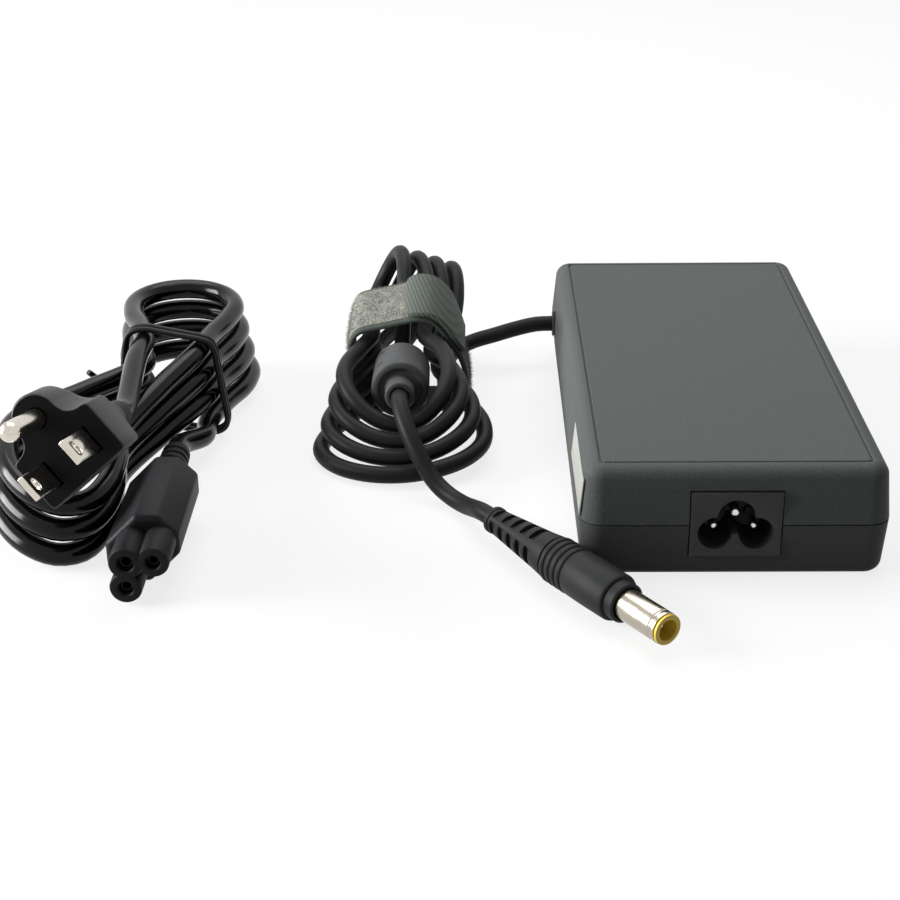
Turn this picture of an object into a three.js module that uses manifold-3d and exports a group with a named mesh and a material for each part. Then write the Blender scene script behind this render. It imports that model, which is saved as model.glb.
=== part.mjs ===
import * as THREE from 'three';
import { mergeVertices } from 'three/addons/utils/BufferGeometryUtils.js';
import Module from 'manifold-3d';

// A laptop power adapter: a slim two-shell brick with its circuit inside, the captive
// low-voltage lead with a ferrite bead, a hook-and-loop strap and a barrel plug, and the
// separate mains lead with its three-pin plug and three-hole appliance connector.
// Millimetres, +Z up. The origin is the middle of the brick's underside.
// The mains inlet faces -Y and the low-voltage lead leaves the brick on -X.

// Clearance between pieces that touch on the real object
const GAP = 0.3;

// Brick case
const CASE_WIDTH = 77;
const CASE_LENGTH = 158;
const CASE_HEIGHT = 29.5;
const CASE_CORNER_RADIUS = 6;
const CASE_TOP_FILLET = 3.5;
const CASE_BASE_FILLET = 3;
const CASE_WALL = 2.2;
const CASE_PARTING_HEIGHT = 14.6;
const TOP_DRAFT = 1.07;
const BASE_DRAFT = 0.9;
const TONGUE_HEIGHT = 1.8;
const TONGUE_THICKNESS = 1;
const TOP_GROOVE_MARGIN = 5.3;
const TOP_GROOVE_WIDTH = 0.6;
const TOP_GROOVE_DEPTH = 0.4;

// Mains inlet, three pins in a clover-shaped recess
const INLET_WIDTH = 22.4;
const INLET_HEIGHT = 17.2;
const INLET_CENTRE_HEIGHT = 14.85;
const INLET_PLATE_THICKNESS = 2.4;
const INLET_PROUD = 0;
const INLET_BODY_STEP = 1;
const INLET_BODY_DEPTH = 19;
const INLET_FLANGE_LIP = 1;
const INLET_FLANGE_THICKNESS = 1.3;
const INLET_RECESS_DEPTH = 13;
const INLET_LIVE_SPACING = 10;
const INLET_LIVE_DROP = 2.35;
const INLET_EARTH_RISE = 2.05;
const INLET_LIVE_LOBE_RADIUS = 4.3;
const INLET_EARTH_LOBE_RADIUS = 4.6;
const INLET_LIVE_PIN_DIAMETER = 2;
const INLET_EARTH_PIN_DIAMETER = 2.5;
const INLET_LIVE_PIN_SETBACK = 3.6;
const INLET_EARTH_PIN_SETBACK = 2.1;
const INLET_PIN_TAIL = 3;

// Blank label let into the left side of the upper shell
const LABEL_LENGTH = 35.5;
const LABEL_HEIGHT = 9.4;
const LABEL_THICKNESS = 0.4;
const LABEL_CENTRE_Y = 21.3 - CASE_LENGTH / 2;
const LABEL_CENTRE_HEIGHT = 20.6;

// Circuit board on four posts
const BOARD_WIDTH = CASE_WIDTH - 13;
const BOARD_LENGTH = CASE_LENGTH - 14;
const BOARD_THICKNESS = 1.6;
const BOARD_HEIGHT = 4.5;
const POST_DIAMETER = 6;
const POST_EDGE_X = 6;
const POST_EDGE_Y = 9;

// Lining above the circuit
const SPREADER_THICKNESS = 0.8;
const SPREADER_WIDTH = CASE_WIDTH - 15;
const SPREADER_LENGTH = CASE_LENGTH - 20;
const SHEET_THICKNESS = 0.4;
const SHEET_WIDTH = CASE_WIDTH - 11;
const SHEET_LENGTH = CASE_LENGTH - 12;
const LINING_DEPTH = CASE_WALL + SPREADER_THICKNESS + SHEET_THICKNESS + 2 * GAP;

// Circuit parts, each with its size and its place on the board. The tallest of them stop short
// of the lining. The mains end is placed from the front face and the heatsinks from the sides.
const FRONT = -CASE_LENGTH / 2;
const SIDE = CASE_WIDTH / 2;
const HEADROOM = 1.1;
const TALLEST = CASE_HEIGHT - LINING_DEPTH - BOARD_HEIGHT - BOARD_THICKNESS - GAP - HEADROOM;
const FUSE = { diameter: 5.2, length: 20, cap: 4.5, x: -20, y: FRONT + 17 };
const FILTER_CAPACITOR = { width: 18, depth: 8.5, height: 15, corner: 1.2, x: -18, y: FRONT + 33 };
const EMI_CHOKE = { ring: 7.4, thickness: 7, x: 20, y: FRONT + 29.5 };
const BRIDGE = { width: 22, depth: 4.2, height: 15, corner: 1, x: 0, y: FRONT + 41 };
const PFC_CHOKE = { width: 24, height: TALLEST, flange: 3, core: 17, x: 12.5, y: FRONT + 57.5 };
const BULK_CAPACITOR = { diameter: TALLEST, length: 35, x: -20.3, y: -14 };
const HEATSINK = { thickness: 1.5, height: TALLEST - 1, foot: 5 };
const PRIMARY_HEATSINK = { length: 40, x: SIDE - 7.6, y: FRONT + 65, footAtFront: false };
const SECONDARY_HEATSINK = { length: 34, x: 7.6 - SIDE, y: 31, footAtFront: true };
const TRANSISTOR = { thickness: 4.5, width: 10, height: TALLEST - 3, tab: 1.3, leg: 2.2 };
const SWITCH_Y = PRIMARY_HEATSINK.y + PRIMARY_HEATSINK.length / 4;
const RECTIFIER_Y = SECONDARY_HEATSINK.y;
const TRANSFORMER = { width: 32, length: 28, height: 14, leg: 9, legHeight: 7, window: 6.2, yoke: 4, x: 0, y: 23 };
const WINDING_HEIGHT = TALLEST - 0.2;
const OUTPUT_CAPACITOR = { diameter: 10, height: TALLEST };
const OUTPUT_CAPACITOR_XS = [-13, -1];
const OUTPUT_ROW_Y = CASE_LENGTH / 2 - 23;
const OUTPUT_CHOKE = { diameter: 15, height: 14, waist: 10, flange: 2, x: 16 };
const OUTPUT_WIRE_DIAMETER = 2;
const OUTPUT_WIRE_SPACING = 3.2;

// Low-voltage lead and the grommet that it leaves the case through
const LEAD_DIAMETER = 4.8;
const LEAD_EXIT_Y = 60;
const GROMMET_COLLAR_DIAMETER = 8.4;
const GROMMET_COLLAR_LENGTH = 0.6;
const GROMMET_NECK_DIAMETER = 7.4;
const GROMMET_FLANGE_DIAMETER = 10.6;
const GROMMET_FLANGE_THICKNESS = 1.5;

// Ferrite bead on the low-voltage lead
const BEAD_REAR = new THREE.Vector3(-85.3, 19.5, 16);
const BEAD_DIRECTION = new THREE.Vector3(0.013, -0.993, 0.115).normalize();
const BEAD_DIAMETER = 16.6;
const BEAD_LENGTH = 22.6;
const BEAD_RIM = 1.2;
const BEAD_BOSS_DIAMETER = 8.4;
const BEAD_BOSS_LENGTH = 6.5;
const BEAD_SKIN = 1.5;
const BEAD_END_SKIN = 2;
const BEAD_CORE_BORE_WALL = 0.9;

// Hook-and-loop strap round the folded lead
const STRAP_WIDTH = 17.5;
const STRAP_CENTRE_Y = 31.6;
const STRAP_THICKNESS = 1.4;
const STRAP_TAB_THICKNESS = 1.6;
// Inner outline of the band across the bundle, x and z, in order round it
const STRAP_INNER = [
  [-95.6, 1.75], [-99.1, 3.1], [-99.9, 8], [-99.9, 16], [-99.8, 22.5], [-98, 25.9], [-92, 27.6],
  [-86, 28.9], [-80.5, 30], [-77, 29.5], [-74.2, 27], [-71.6, 22.9], [-69, 18.2], [-67.3, 13],
  [-67, 7.5], [-68.1, 3.9], [-71.5, 2.2], [-80, 1.8], [-88, 1.8],
];
// The hook tab lies on the band's upper right, from its free edge to the turn where it is sewn
const STRAP_TAB_FREE_X = -84;
const STRAP_TAB_SEWN_Z = 18.5;
// Above a level the strap leans: it rises toward its back edge, per mm from a pivot near its front edge
const STRAP_LEAN = 0.36;
const STRAP_LEAN_FROM_Z = 18;
const STRAP_LEAN_FULL_Z = 27;
const STRAP_LEAN_PIVOT = -6;
const STRAP_STEPS = 5;

// Barrel plug, lengths along its axis from the start of its strain relief
const PLUG_START = new THREE.Vector3(-59.2, -58.9, 6.4);
const PLUG_DIRECTION = new THREE.Vector3(0.576, -0.818, 0).normalize();
const PLUG_RELIEF_LENGTH = 26.3;
const PLUG_RELIEF_DIAMETER = 6.6;
const PLUG_RELIEF_BEND = 21.7;
const PLUG_RELIEF_BEND_DIAMETER = 10.4;
const PLUG_RELIEF_END_DIAMETER = 11.6;
const PLUG_RIB_COUNT = 4;
const PLUG_RIB_PITCH = 2.1;
const PLUG_RIB_DIAMETER = 12.2;
const PLUG_RIB_ROOT_DIAMETER = 11.2;
const PLUG_BODY_DIAMETER = 12;
const PLUG_BODY_LENGTH = 15.7;
const PLUG_COLLAR_DIAMETER = 10;
const PLUG_COLLAR_LENGTH = 3;
const PLUG_BARREL_DIAMETER = 7.9;
const PLUG_BARREL_WALL = 0.45;
const PLUG_BARREL_LENGTH = 13.5;
const PLUG_SEAT_DEPTH = 5;
const PLUG_TIP_RING_DIAMETER = 7.6;
const PLUG_TIP_RING_LENGTH = 0.7;
const PLUG_BORE_DIAMETER = 5.2;
const PLUG_PIN_DIAMETER = 1;
const PLUG_PIN_SETBACK = 2;

// Mains lead
const MAINS_DIAMETER = 6;

// Appliance connector on the mains lead, lying on one chamfer
const CONNECTOR_X = -146;
const CONNECTOR_Z = 9.3;
const CONNECTOR_ROLL = Math.PI / 4;
const CONNECTOR_FACE_Y = -92;
const CONNECTOR_NOSE_LENGTH = 12;
const CONNECTOR_BODY_LENGTH = 35;
const CONNECTOR_BODY_HALF_WIDTH = 9.5;
const CONNECTOR_BODY_HALF_HEIGHT = 7.5;
const CONNECTOR_CHAMFER = 4;
const CONNECTOR_LIVE_SPACING = 10;
const CONNECTOR_LIVE_DROP = 1.5;
const CONNECTOR_EARTH_RISE = 2.9;
const CONNECTOR_LIVE_LOBE_RADIUS = 4;
const CONNECTOR_EARTH_LOBE_RADIUS = 4.2;
const CONNECTOR_LIVE_HOLE = 3.6;
const CONNECTOR_EARTH_HOLE = 4;
const CONNECTOR_HOLE_DEPTH = 12.5;
const CONTACT_SETBACK = 2;
const CONTACT_WALL = 0.4;
const CONNECTOR_RELIEF_LENGTH = 19.7;
const CONNECTOR_RELIEF_DIAMETER = 9;
const CONNECTOR_RELIEF_END_DIAMETER = 7.6;
const RELIEF_GROOVE_COUNT = 5;
const RELIEF_GROOVE_DEPTH = 0.7;

// Mains plug: two flat blades and a round earth pin
const MAINS_PLUG_FACE = new THREE.Vector3(-157.3, -95.6, 41.6);
const MAINS_PLUG_OUT = new THREE.Vector3(-0.052, -0.964, 0.262).normalize();
const MAINS_PLUG_ACROSS = new THREE.Vector3(0.757, 0.133, 0.639);
const MAINS_PLUG_DEPTH = 14;
const MAINS_PLUG_GRIP_LENGTH = 26;
const MAINS_PLUG_HALF_WIDTH = 11.7;
const MAINS_PLUG_BOTTOM = -6.6;
const MAINS_PLUG_SHOULDER = 7.3;
const MAINS_PLUG_NECK_HALF_WIDTH = 5.4;
const MAINS_PLUG_NECK_HEIGHT = 11.6;
const BLADE_SPACING = 12.7;
const BLADE_WIDTH = 6.35;
const BLADE_THICKNESS = 1.5;
const BLADE_LENGTH = 17;
const BLADE_HOLE = 3.2;
const BLADE_HOLE_FROM_TIP = 4;
const EARTH_PIN_RISE = 11.9;
const EARTH_PIN_DIAMETER = 4.8;
const EARTH_PIN_LENGTH = 21;
const EARTH_LOBE_RADIUS = 5.6;
const PRONG_ROOT_DEPTH = 8;
const MAINS_RELIEF_LENGTH = 11;
const MAINS_RELIEF_DIAMETER = 9;
const MAINS_RELIEF_END_DIAMETER = 7.4;
const MAINS_PLUG_AXIS_RISE = 3;

// Twist tie round the waist of the mains lead
const TIE_DIAMETER = 1.7;
const TIE_TURNS = 2;
const TIE_PITCH = 2.6;
const TIE_STEPS = 36;
// Spare room between the tie and the strands inside it
const TIE_SLACK = 0.3;

const wasm = await Module();
wasm.setup();

const UP = new THREE.Vector3(0, 0, 1);
const model = new THREE.Group();

// ---- materials ----

function material(color, roughness, metalness = 0) {
  return new THREE.MeshStandardMaterial({ color, roughness, metalness });
}

const caseTopPlastic = material(0x3c403f, 0.72);
const caseBasePlastic = material(0x333736, 0.72);
const inletPlastic = material(0x1b1c1d, 0.5);
const pinMetal = material(0xc9c6bf, 0.25, 1);
const labelFilm = material(0xd8dad2, 0.6);
const boardLaminate = material(0x5f7a3a, 0.6);
const ferriteGrey = material(0x3f4042, 0.7);
const windingTape = material(0xd9b33a, 0.5);
const capacitorSleeve = material(0x22242b, 0.4);
const filterYellow = material(0xd8b23c, 0.45);
const aluminium = material(0xb9bcc0, 0.35, 1);
const chipEpoxy = material(0x1d1d1f, 0.55);
const fuseGlass = material(0xcfd6d8, 0.2);
const sheetFilm = material(0xe6e2d2, 0.6);
const leadJacket = material(0x2c2d2f, 0.65);
const mouldedBlack = material(0x232426, 0.6);
const beadPlastic = material(0x4a4b4c, 0.55);
const strapLoop = material(0x6f7068, 0.95);
const strapHook = material(0x5d5f58, 0.9);
const plugPlastic = material(0x3a3c3d, 0.6);
const barrelNickel = material(0xb9ab8f, 0.3, 1);
const insulatorYellow = material(0xe6c23c, 0.45);
const mainsJacket = material(0x141415, 0.35);
const mainsPlastic = material(0x1c1d1f, 0.5);
const bladeNickel = material(0xc8c2b6, 0.25, 1);
const tieBlack = material(0x1a1a1b, 0.5);
const wireRed = material(0x9c2b26, 0.5);
const wireBlack = material(0x202124, 0.5);

// ---- helpers ----

function addMesh(name, geometry, slot) {
  const mesh = new THREE.Mesh(geometry, slot);
  mesh.name = name;
  model.add(mesh);
  return mesh;
}

function toSolid(geometry) {
  const bare = geometry.clone();
  bare.deleteAttribute('normal');
  bare.deleteAttribute('uv');
  const merged = mergeVertices(bare, 1e-4);
  return new wasm.Manifold(new wasm.Mesh({
    numProp: 3,
    vertProperties: new Float32Array(merged.attributes.position.array),
    triVerts: new Uint32Array(merged.index.array),
  }));
}

function toGeometry(solid) {
  const mesh = solid.getMesh();
  const geometry = new THREE.BufferGeometry();
  geometry.setAttribute('position', new THREE.BufferAttribute(new Float32Array(mesh.vertProperties), 3));
  geometry.setIndex(new THREE.BufferAttribute(new Uint32Array(mesh.triVerts), 1));
  const flat = geometry.toNonIndexed();
  flat.computeVertexNormals();
  return flat;
}

function join(...geometries) {
  return toGeometry(geometries.map(toSolid).reduce((sum, solid) => sum.add(solid)));
}

function cut(base, ...tools) {
  return toGeometry(tools.map(toSolid).reduce((rest, solid) => rest.subtract(solid), toSolid(base)));
}

function box(x0, x1, y0, y1, z0, z1) {
  const geometry = new THREE.BoxGeometry(x1 - x0, y1 - y0, z1 - z0);
  geometry.translate((x0 + x1) / 2, (y0 + y1) / 2, (z0 + z1) / 2);
  return geometry;
}

// A block with its upright edges rounded, standing on z0
function roundedBlock(x, y, z0, width, depth, height, corner) {
  const shape = new THREE.Shape();
  const hx = width / 2;
  const hy = depth / 2;
  shape.moveTo(hx, corner - hy);
  shape.absarc(hx - corner, hy - corner, corner, 0, Math.PI / 2);
  shape.absarc(corner - hx, hy - corner, corner, Math.PI / 2, Math.PI);
  shape.absarc(corner - hx, corner - hy, corner, Math.PI, 1.5 * Math.PI);
  shape.absarc(hx - corner, corner - hy, corner, 1.5 * Math.PI, 2 * Math.PI);
  const geometry = new THREE.ExtrudeGeometry(shape, { depth: height, bevelEnabled: false, curveSegments: 3 });
  geometry.translate(x, y, z0);
  return geometry;
}

// A turned solid: the profile is radius and distance along the axis
function turned(profile, origin, direction, segments = 24) {
  const geometry = new THREE.LatheGeometry(profile.map(([r, s]) => new THREE.Vector2(r, s)), segments);
  const turn = new THREE.Quaternion().setFromUnitVectors(new THREE.Vector3(0, 1, 0), direction);
  geometry.applyQuaternion(turn);
  geometry.translate(origin.x, origin.y, origin.z);
  return geometry;
}

function rod(radius, from, to, origin, direction, segments = 24) {
  return turned([[0, from], [radius, from], [radius, to], [0, to]], origin, direction, segments);
}

function pipe(inner, outer, from, to, origin, direction, segments = 24) {
  const profile = [[inner, from], [outer, from], [outer, to], [inner, to], [inner, from]];
  return turned(profile, origin, direction, segments);
}

// A closed skin through rings that all have the same number of points
function skin(rings) {
  const count = rings[0].length;
  const positions = [];
  const index = [];
  rings.forEach((ring) => ring.forEach((p) => positions.push(p.x, p.y, p.z)));
  for (let i = 0; i + 1 < rings.length; i += 1) {
    for (let j = 0; j < count; j += 1) {
      const a = i * count + j;
      const b = i * count + ((j + 1) % count);
      index.push(a, b, b + count, a, b + count, a + count);
    }
  }
  [[rings[0], 0, true], [rings[rings.length - 1], (rings.length - 1) * count, false]].forEach(([ring, base, first]) => {
    const middle = ring.reduce((sum, p) => sum.add(p), new THREE.Vector3()).divideScalar(count);
    const hub = positions.length / 3;
    positions.push(middle.x, middle.y, middle.z);
    for (let j = 0; j < count; j += 1) {
      const a = base + j;
      const b = base + ((j + 1) % count);
      index.push(...(first ? [hub, b, a] : [hub, a, b]));
    }
  });
  const geometry = new THREE.BufferGeometry();
  geometry.setAttribute('position', new THREE.Float32BufferAttribute(positions, 3));
  geometry.setIndex(index);
  geometry.computeVertexNormals();
  return geometry;
}

// Round tube through a list of points, its ends square to the line
function sweep(points, radius, sides) {
  const tangents = points.map((p, i) => {
    const before = points[Math.max(0, i - 1)];
    const after = points[Math.min(points.length - 1, i + 1)];
    return after.clone().sub(before).normalize();
  });
  let side = new THREE.Vector3().crossVectors(tangents[0], UP).normalize();
  const rings = points.map((p, i) => {
    side = side.clone().addScaledVector(tangents[i], -side.dot(tangents[i])).normalize();
    const other = new THREE.Vector3().crossVectors(tangents[i], side);
    return Array.from({ length: sides }, (_, k) => {
      const angle = (2 * Math.PI * (k + 0.5)) / sides;
      return p.clone().addScaledVector(side, radius * Math.cos(angle)).addScaledVector(other, radius * Math.sin(angle));
    });
  });
  return skin(rings);
}

// Plain cord along a smooth curve through its points
function cord(points, diameter, sides = 8, spacing = 2.5) {
  const curve = new THREE.CatmullRomCurve3(points.map((p) => new THREE.Vector3(...p)), false, 'centripetal');
  const section = new THREE.Shape();
  for (let k = 0; k < sides; k += 1) {
    const angle = (2 * Math.PI * k) / sides;
    section[k ? 'lineTo' : 'moveTo']((diameter / 2) * Math.cos(angle), (diameter / 2) * Math.sin(angle));
  }
  section.closePath();
  const steps = Math.max(4, Math.round(curve.getLength() / (spacing * diameter)));
  return new THREE.ExtrudeGeometry(section, { steps, extrudePath: curve, bevelEnabled: false });
}

// ---- case shells ----

const ringSteps = 6;

function caseRing(height, inset) {
  const radius = Math.max(CASE_CORNER_RADIUS - inset, 1);
  const hx = CASE_WIDTH / 2 - inset - radius;
  const hy = CASE_LENGTH / 2 - inset - radius;
  const ring = [];
  [[1, 1], [-1, 1], [-1, -1], [1, -1]].forEach(([sx, sy], corner) => {
    for (let k = 0; k <= ringSteps; k += 1) {
      const angle = (corner + k / ringSteps) * (Math.PI / 2);
      ring.push(new THREE.Vector3(sx * hx + radius * Math.cos(angle), sy * hy + radius * Math.sin(angle), height));
    }
  });
  return ring;
}

const seamLow = CASE_PARTING_HEIGHT - GAP / 2;
const seamHigh = CASE_PARTING_HEIGHT + GAP / 2;
const tongueTop = seamLow + TONGUE_HEIGHT;
const grooveRoof = tongueTop + GAP;
const topSide = CASE_HEIGHT - CASE_TOP_FILLET;
const ceiling = CASE_HEIGHT - CASE_WALL;
const innerFillet = 1.3;
const filletSteps = 3;

function topDraftAt(height) {
  return (TOP_DRAFT * (height - seamHigh)) / (topSide - seamHigh);
}

const topRings = [
  caseRing(ceiling, TOP_DRAFT + CASE_WALL + innerFillet),
  caseRing(ceiling - innerFillet, TOP_DRAFT + CASE_WALL),
  caseRing(grooveRoof, CASE_WALL + topDraftAt(grooveRoof)),
  caseRing(grooveRoof, CASE_WALL - TONGUE_THICKNESS - GAP),
  caseRing(seamHigh, CASE_WALL - TONGUE_THICKNESS - GAP),
  caseRing(seamHigh, 0),
  caseRing(topSide, TOP_DRAFT),
];
for (let k = 1; k <= filletSteps; k += 1) {
  const angle = (k / filletSteps) * (Math.PI / 2);
  const height = topSide + CASE_TOP_FILLET * Math.sin(angle);
  topRings.push(caseRing(height, TOP_DRAFT + CASE_TOP_FILLET * (1 - Math.cos(angle))));
}
const grooveOuter = TOP_GROOVE_MARGIN - TOP_GROOVE_WIDTH / 2;
const grooveInner = TOP_GROOVE_MARGIN + TOP_GROOVE_WIDTH / 2;
topRings.push(
  caseRing(CASE_HEIGHT, grooveOuter),
  caseRing(CASE_HEIGHT - TOP_GROOVE_DEPTH, grooveOuter),
  caseRing(CASE_HEIGHT - TOP_GROOVE_DEPTH, grooveInner),
  caseRing(CASE_HEIGHT, grooveInner),
);

const baseRings = [];
for (let k = 0; k <= filletSteps; k += 1) {
  const angle = (k / filletSteps) * (Math.PI / 2);
  const height = CASE_BASE_FILLET * (1 - Math.cos(angle));
  baseRings.push(caseRing(height, BASE_DRAFT + CASE_BASE_FILLET * (1 - Math.sin(angle))));
}
baseRings.push(
  caseRing(seamLow, 0),
  caseRing(seamLow, CASE_WALL - TONGUE_THICKNESS),
  caseRing(tongueTop, CASE_WALL - TONGUE_THICKNESS),
  caseRing(tongueTop, CASE_WALL),
  caseRing(seamLow, CASE_WALL),
  caseRing(CASE_WALL + innerFillet, BASE_DRAFT + CASE_WALL),
  caseRing(CASE_WALL, BASE_DRAFT + CASE_WALL + innerFillet),
);

const frontFace = -CASE_LENGTH / 2;
const leftFace = -CASE_WIDTH / 2;
const inletFace = frontFace - INLET_PROUD;
const inletLow = INLET_CENTRE_HEIGHT - INLET_HEIGHT / 2;
const inletHigh = INLET_CENTRE_HEIGHT + INLET_HEIGHT / 2;
const inletHole = box(
  -INLET_WIDTH / 2 - GAP,
  INLET_WIDTH / 2 + GAP,
  frontFace - CASE_WALL,
  frontFace + 2.5 * CASE_WALL,
  inletLow - GAP,
  inletHigh + GAP,
);
const exitPoint = new THREE.Vector3(leftFace, LEAD_EXIT_Y, CASE_PARTING_HEIGHT);
const LEFT = new THREE.Vector3(-1, 0, 0);
const grommetHole = rod(GROMMET_NECK_DIAMETER / 2 + GAP, -2.5 * CASE_WALL, CASE_WALL, exitPoint, LEFT);

// The label lies in a shallow pocket on the drafted side of the upper shell
const sideTilt = Math.atan2(TOP_DRAFT, topSide - seamHigh);
const labelSeat = new THREE.Matrix4()
  .makeTranslation(leftFace + topDraftAt(LABEL_CENTRE_HEIGHT), LABEL_CENTRE_Y, LABEL_CENTRE_HEIGHT)
  .multiply(new THREE.Matrix4().makeRotationY(sideTilt));
const labelPocket = box(
  -CASE_WALL,
  LABEL_THICKNESS + GAP,
  -LABEL_LENGTH / 2 - GAP,
  LABEL_LENGTH / 2 + GAP,
  -LABEL_HEIGHT / 2 - GAP,
  LABEL_HEIGHT / 2 + GAP,
).applyMatrix4(labelSeat);

addMesh('top_cover', cut(skin(topRings), inletHole, grommetHole, labelPocket), caseTopPlastic);

const floor = CASE_WALL;
const postX = BOARD_WIDTH / 2 - POST_EDGE_X;
const postY = BOARD_LENGTH / 2 - POST_EDGE_Y;
const posts = [[1, 1], [-1, 1], [-1, -1], [1, -1]].map(([sx, sy]) => rod(
  POST_DIAMETER / 2,
  floor / 2,
  BOARD_HEIGHT - GAP,
  new THREE.Vector3(sx * postX, sy * postY, 0),
  UP,
  16,
));
addMesh('bottom_cover', cut(join(skin(baseRings), ...posts), inletHole, grommetHole), caseBasePlastic);

const label = box(0, LABEL_THICKNESS, -LABEL_LENGTH / 2, LABEL_LENGTH / 2, -LABEL_HEIGHT / 2, LABEL_HEIGHT / 2);
addMesh('side_label', label.applyMatrix4(labelSeat), labelFilm);

// ---- mains inlet ----

const BACK = new THREE.Vector3(0, 1, 0);
const wallInside = CASE_WALL + TOP_DRAFT;
const flangeStart = wallInside + GAP + INLET_PROUD;
const bodyHalfWidth = INLET_WIDTH / 2 - INLET_BODY_STEP;
const bodyHalfHeight = INLET_HEIGHT / 2 - INLET_BODY_STEP;
const inletMiddle = new THREE.Vector3(0, inletFace, INLET_CENTRE_HEIGHT);
const livePoints = [-1, 1].map((side) => new THREE.Vector3(
  (side * INLET_LIVE_SPACING) / 2,
  inletFace,
  INLET_CENTRE_HEIGHT - INLET_LIVE_DROP,
));
const earthPoint = inletMiddle.clone().add(new THREE.Vector3(0, 0, INLET_EARTH_RISE));
const inletBack = inletFace + INLET_BODY_DEPTH;
const inletBlank = join(
  box(-INLET_WIDTH / 2, INLET_WIDTH / 2, inletFace, inletFace + INLET_PLATE_THICKNESS, inletLow, inletHigh),
  box(
    -bodyHalfWidth,
    bodyHalfWidth,
    inletFace + INLET_PLATE_THICKNESS / 2,
    inletBack,
    INLET_CENTRE_HEIGHT - bodyHalfHeight,
    INLET_CENTRE_HEIGHT + bodyHalfHeight,
  ),
  box(
    -INLET_WIDTH / 2 - INLET_FLANGE_LIP,
    INLET_WIDTH / 2 + INLET_FLANGE_LIP,
    inletFace + flangeStart,
    inletFace + flangeStart + INLET_FLANGE_THICKNESS,
    inletLow - INLET_FLANGE_LIP,
    Math.min(inletHigh + INLET_FLANGE_LIP, ceiling - innerFillet - GAP),
  ),
);
const livePinRadius = INLET_LIVE_PIN_DIAMETER / 2;
const earthPinRadius = INLET_EARTH_PIN_DIAMETER / 2;
addMesh('inlet_housing', cut(
  inletBlank,
  ...livePoints.map((p) => rod(INLET_LIVE_LOBE_RADIUS, -1, INLET_RECESS_DEPTH, p, BACK)),
  rod(INLET_EARTH_LOBE_RADIUS, -1, INLET_RECESS_DEPTH, earthPoint, BACK),
  ...livePoints.map((p) => rod(livePinRadius + GAP, 0, INLET_BODY_DEPTH + 1, p, BACK, 16)),
  rod(earthPinRadius + GAP, 0, INLET_BODY_DEPTH + 1, earthPoint, BACK, 16),
), inletPlastic);

function inletPin(radius, setback) {
  const tail = INLET_BODY_DEPTH + INLET_PIN_TAIL;
  return [[0, setback], [radius * 0.6, setback], [radius, setback + radius * 0.6], [radius, tail], [0, tail]];
}
const livePin = inletPin(livePinRadius, INLET_LIVE_PIN_SETBACK);
addMesh('inlet_pin_line', turned(livePin, livePoints[0], BACK, 16), pinMetal);
addMesh('inlet_pin_neutral', turned(livePin, livePoints[1], BACK, 16), pinMetal);
const earthPin = inletPin(earthPinRadius, INLET_EARTH_PIN_SETBACK);
addMesh('inlet_pin_earth', turned(earthPin, earthPoint, BACK, 16), pinMetal);

// ---- circuit ----

const boardTop = BOARD_HEIGHT + BOARD_THICKNESS;
const seat = boardTop + GAP;
addMesh('circuit_board', box(
  -BOARD_WIDTH / 2,
  BOARD_WIDTH / 2,
  -BOARD_LENGTH / 2,
  BOARD_LENGTH / 2,
  BOARD_HEIGHT,
  boardTop,
), boardLaminate);

const fuseRadius = FUSE.diameter / 2;
const glassRadius = fuseRadius - 0.3;
addMesh('fuse', turned(
  [
    [0, 0], [fuseRadius, 0], [fuseRadius, FUSE.cap], [glassRadius, FUSE.cap],
    [glassRadius, FUSE.length - FUSE.cap], [fuseRadius, FUSE.length - FUSE.cap],
    [fuseRadius, FUSE.length], [0, FUSE.length],
  ],
  new THREE.Vector3(FUSE.x, FUSE.y - FUSE.length / 2, seat + fuseRadius),
  BACK,
  16,
), fuseGlass);

addMesh('line_filter_capacitor', roundedBlock(
  FILTER_CAPACITOR.x,
  FILTER_CAPACITOR.y,
  seat,
  FILTER_CAPACITOR.width,
  FILTER_CAPACITOR.depth,
  FILTER_CAPACITOR.height,
  FILTER_CAPACITOR.corner,
), filterYellow);

const chokeTube = EMI_CHOKE.thickness / 2;
const emiRing = new THREE.TorusGeometry(EMI_CHOKE.ring, chokeTube, 10, 24);
emiRing.translate(EMI_CHOKE.x, EMI_CHOKE.y, seat + chokeTube);
addMesh('emi_choke', emiRing, windingTape);

addMesh('bridge_rectifier', roundedBlock(
  BRIDGE.x,
  BRIDGE.y,
  seat,
  BRIDGE.width,
  BRIDGE.depth,
  BRIDGE.height,
  BRIDGE.corner,
), chipEpoxy);

const pfcHalf = PFC_CHOKE.width / 2;
addMesh('pfc_choke', join(
  roundedBlock(PFC_CHOKE.x, PFC_CHOKE.y, seat, PFC_CHOKE.width, PFC_CHOKE.width, PFC_CHOKE.flange, 1.5),
  roundedBlock(
    PFC_CHOKE.x,
    PFC_CHOKE.y,
    seat + PFC_CHOKE.height - PFC_CHOKE.flange,
    PFC_CHOKE.width,
    PFC_CHOKE.width,
    PFC_CHOKE.flange,
    1.5,
  ),
  rod(PFC_CHOKE.core / 2, 1, PFC_CHOKE.height - 1, new THREE.Vector3(PFC_CHOKE.x, PFC_CHOKE.y, seat), UP, 20),
), ferriteGrey);

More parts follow.
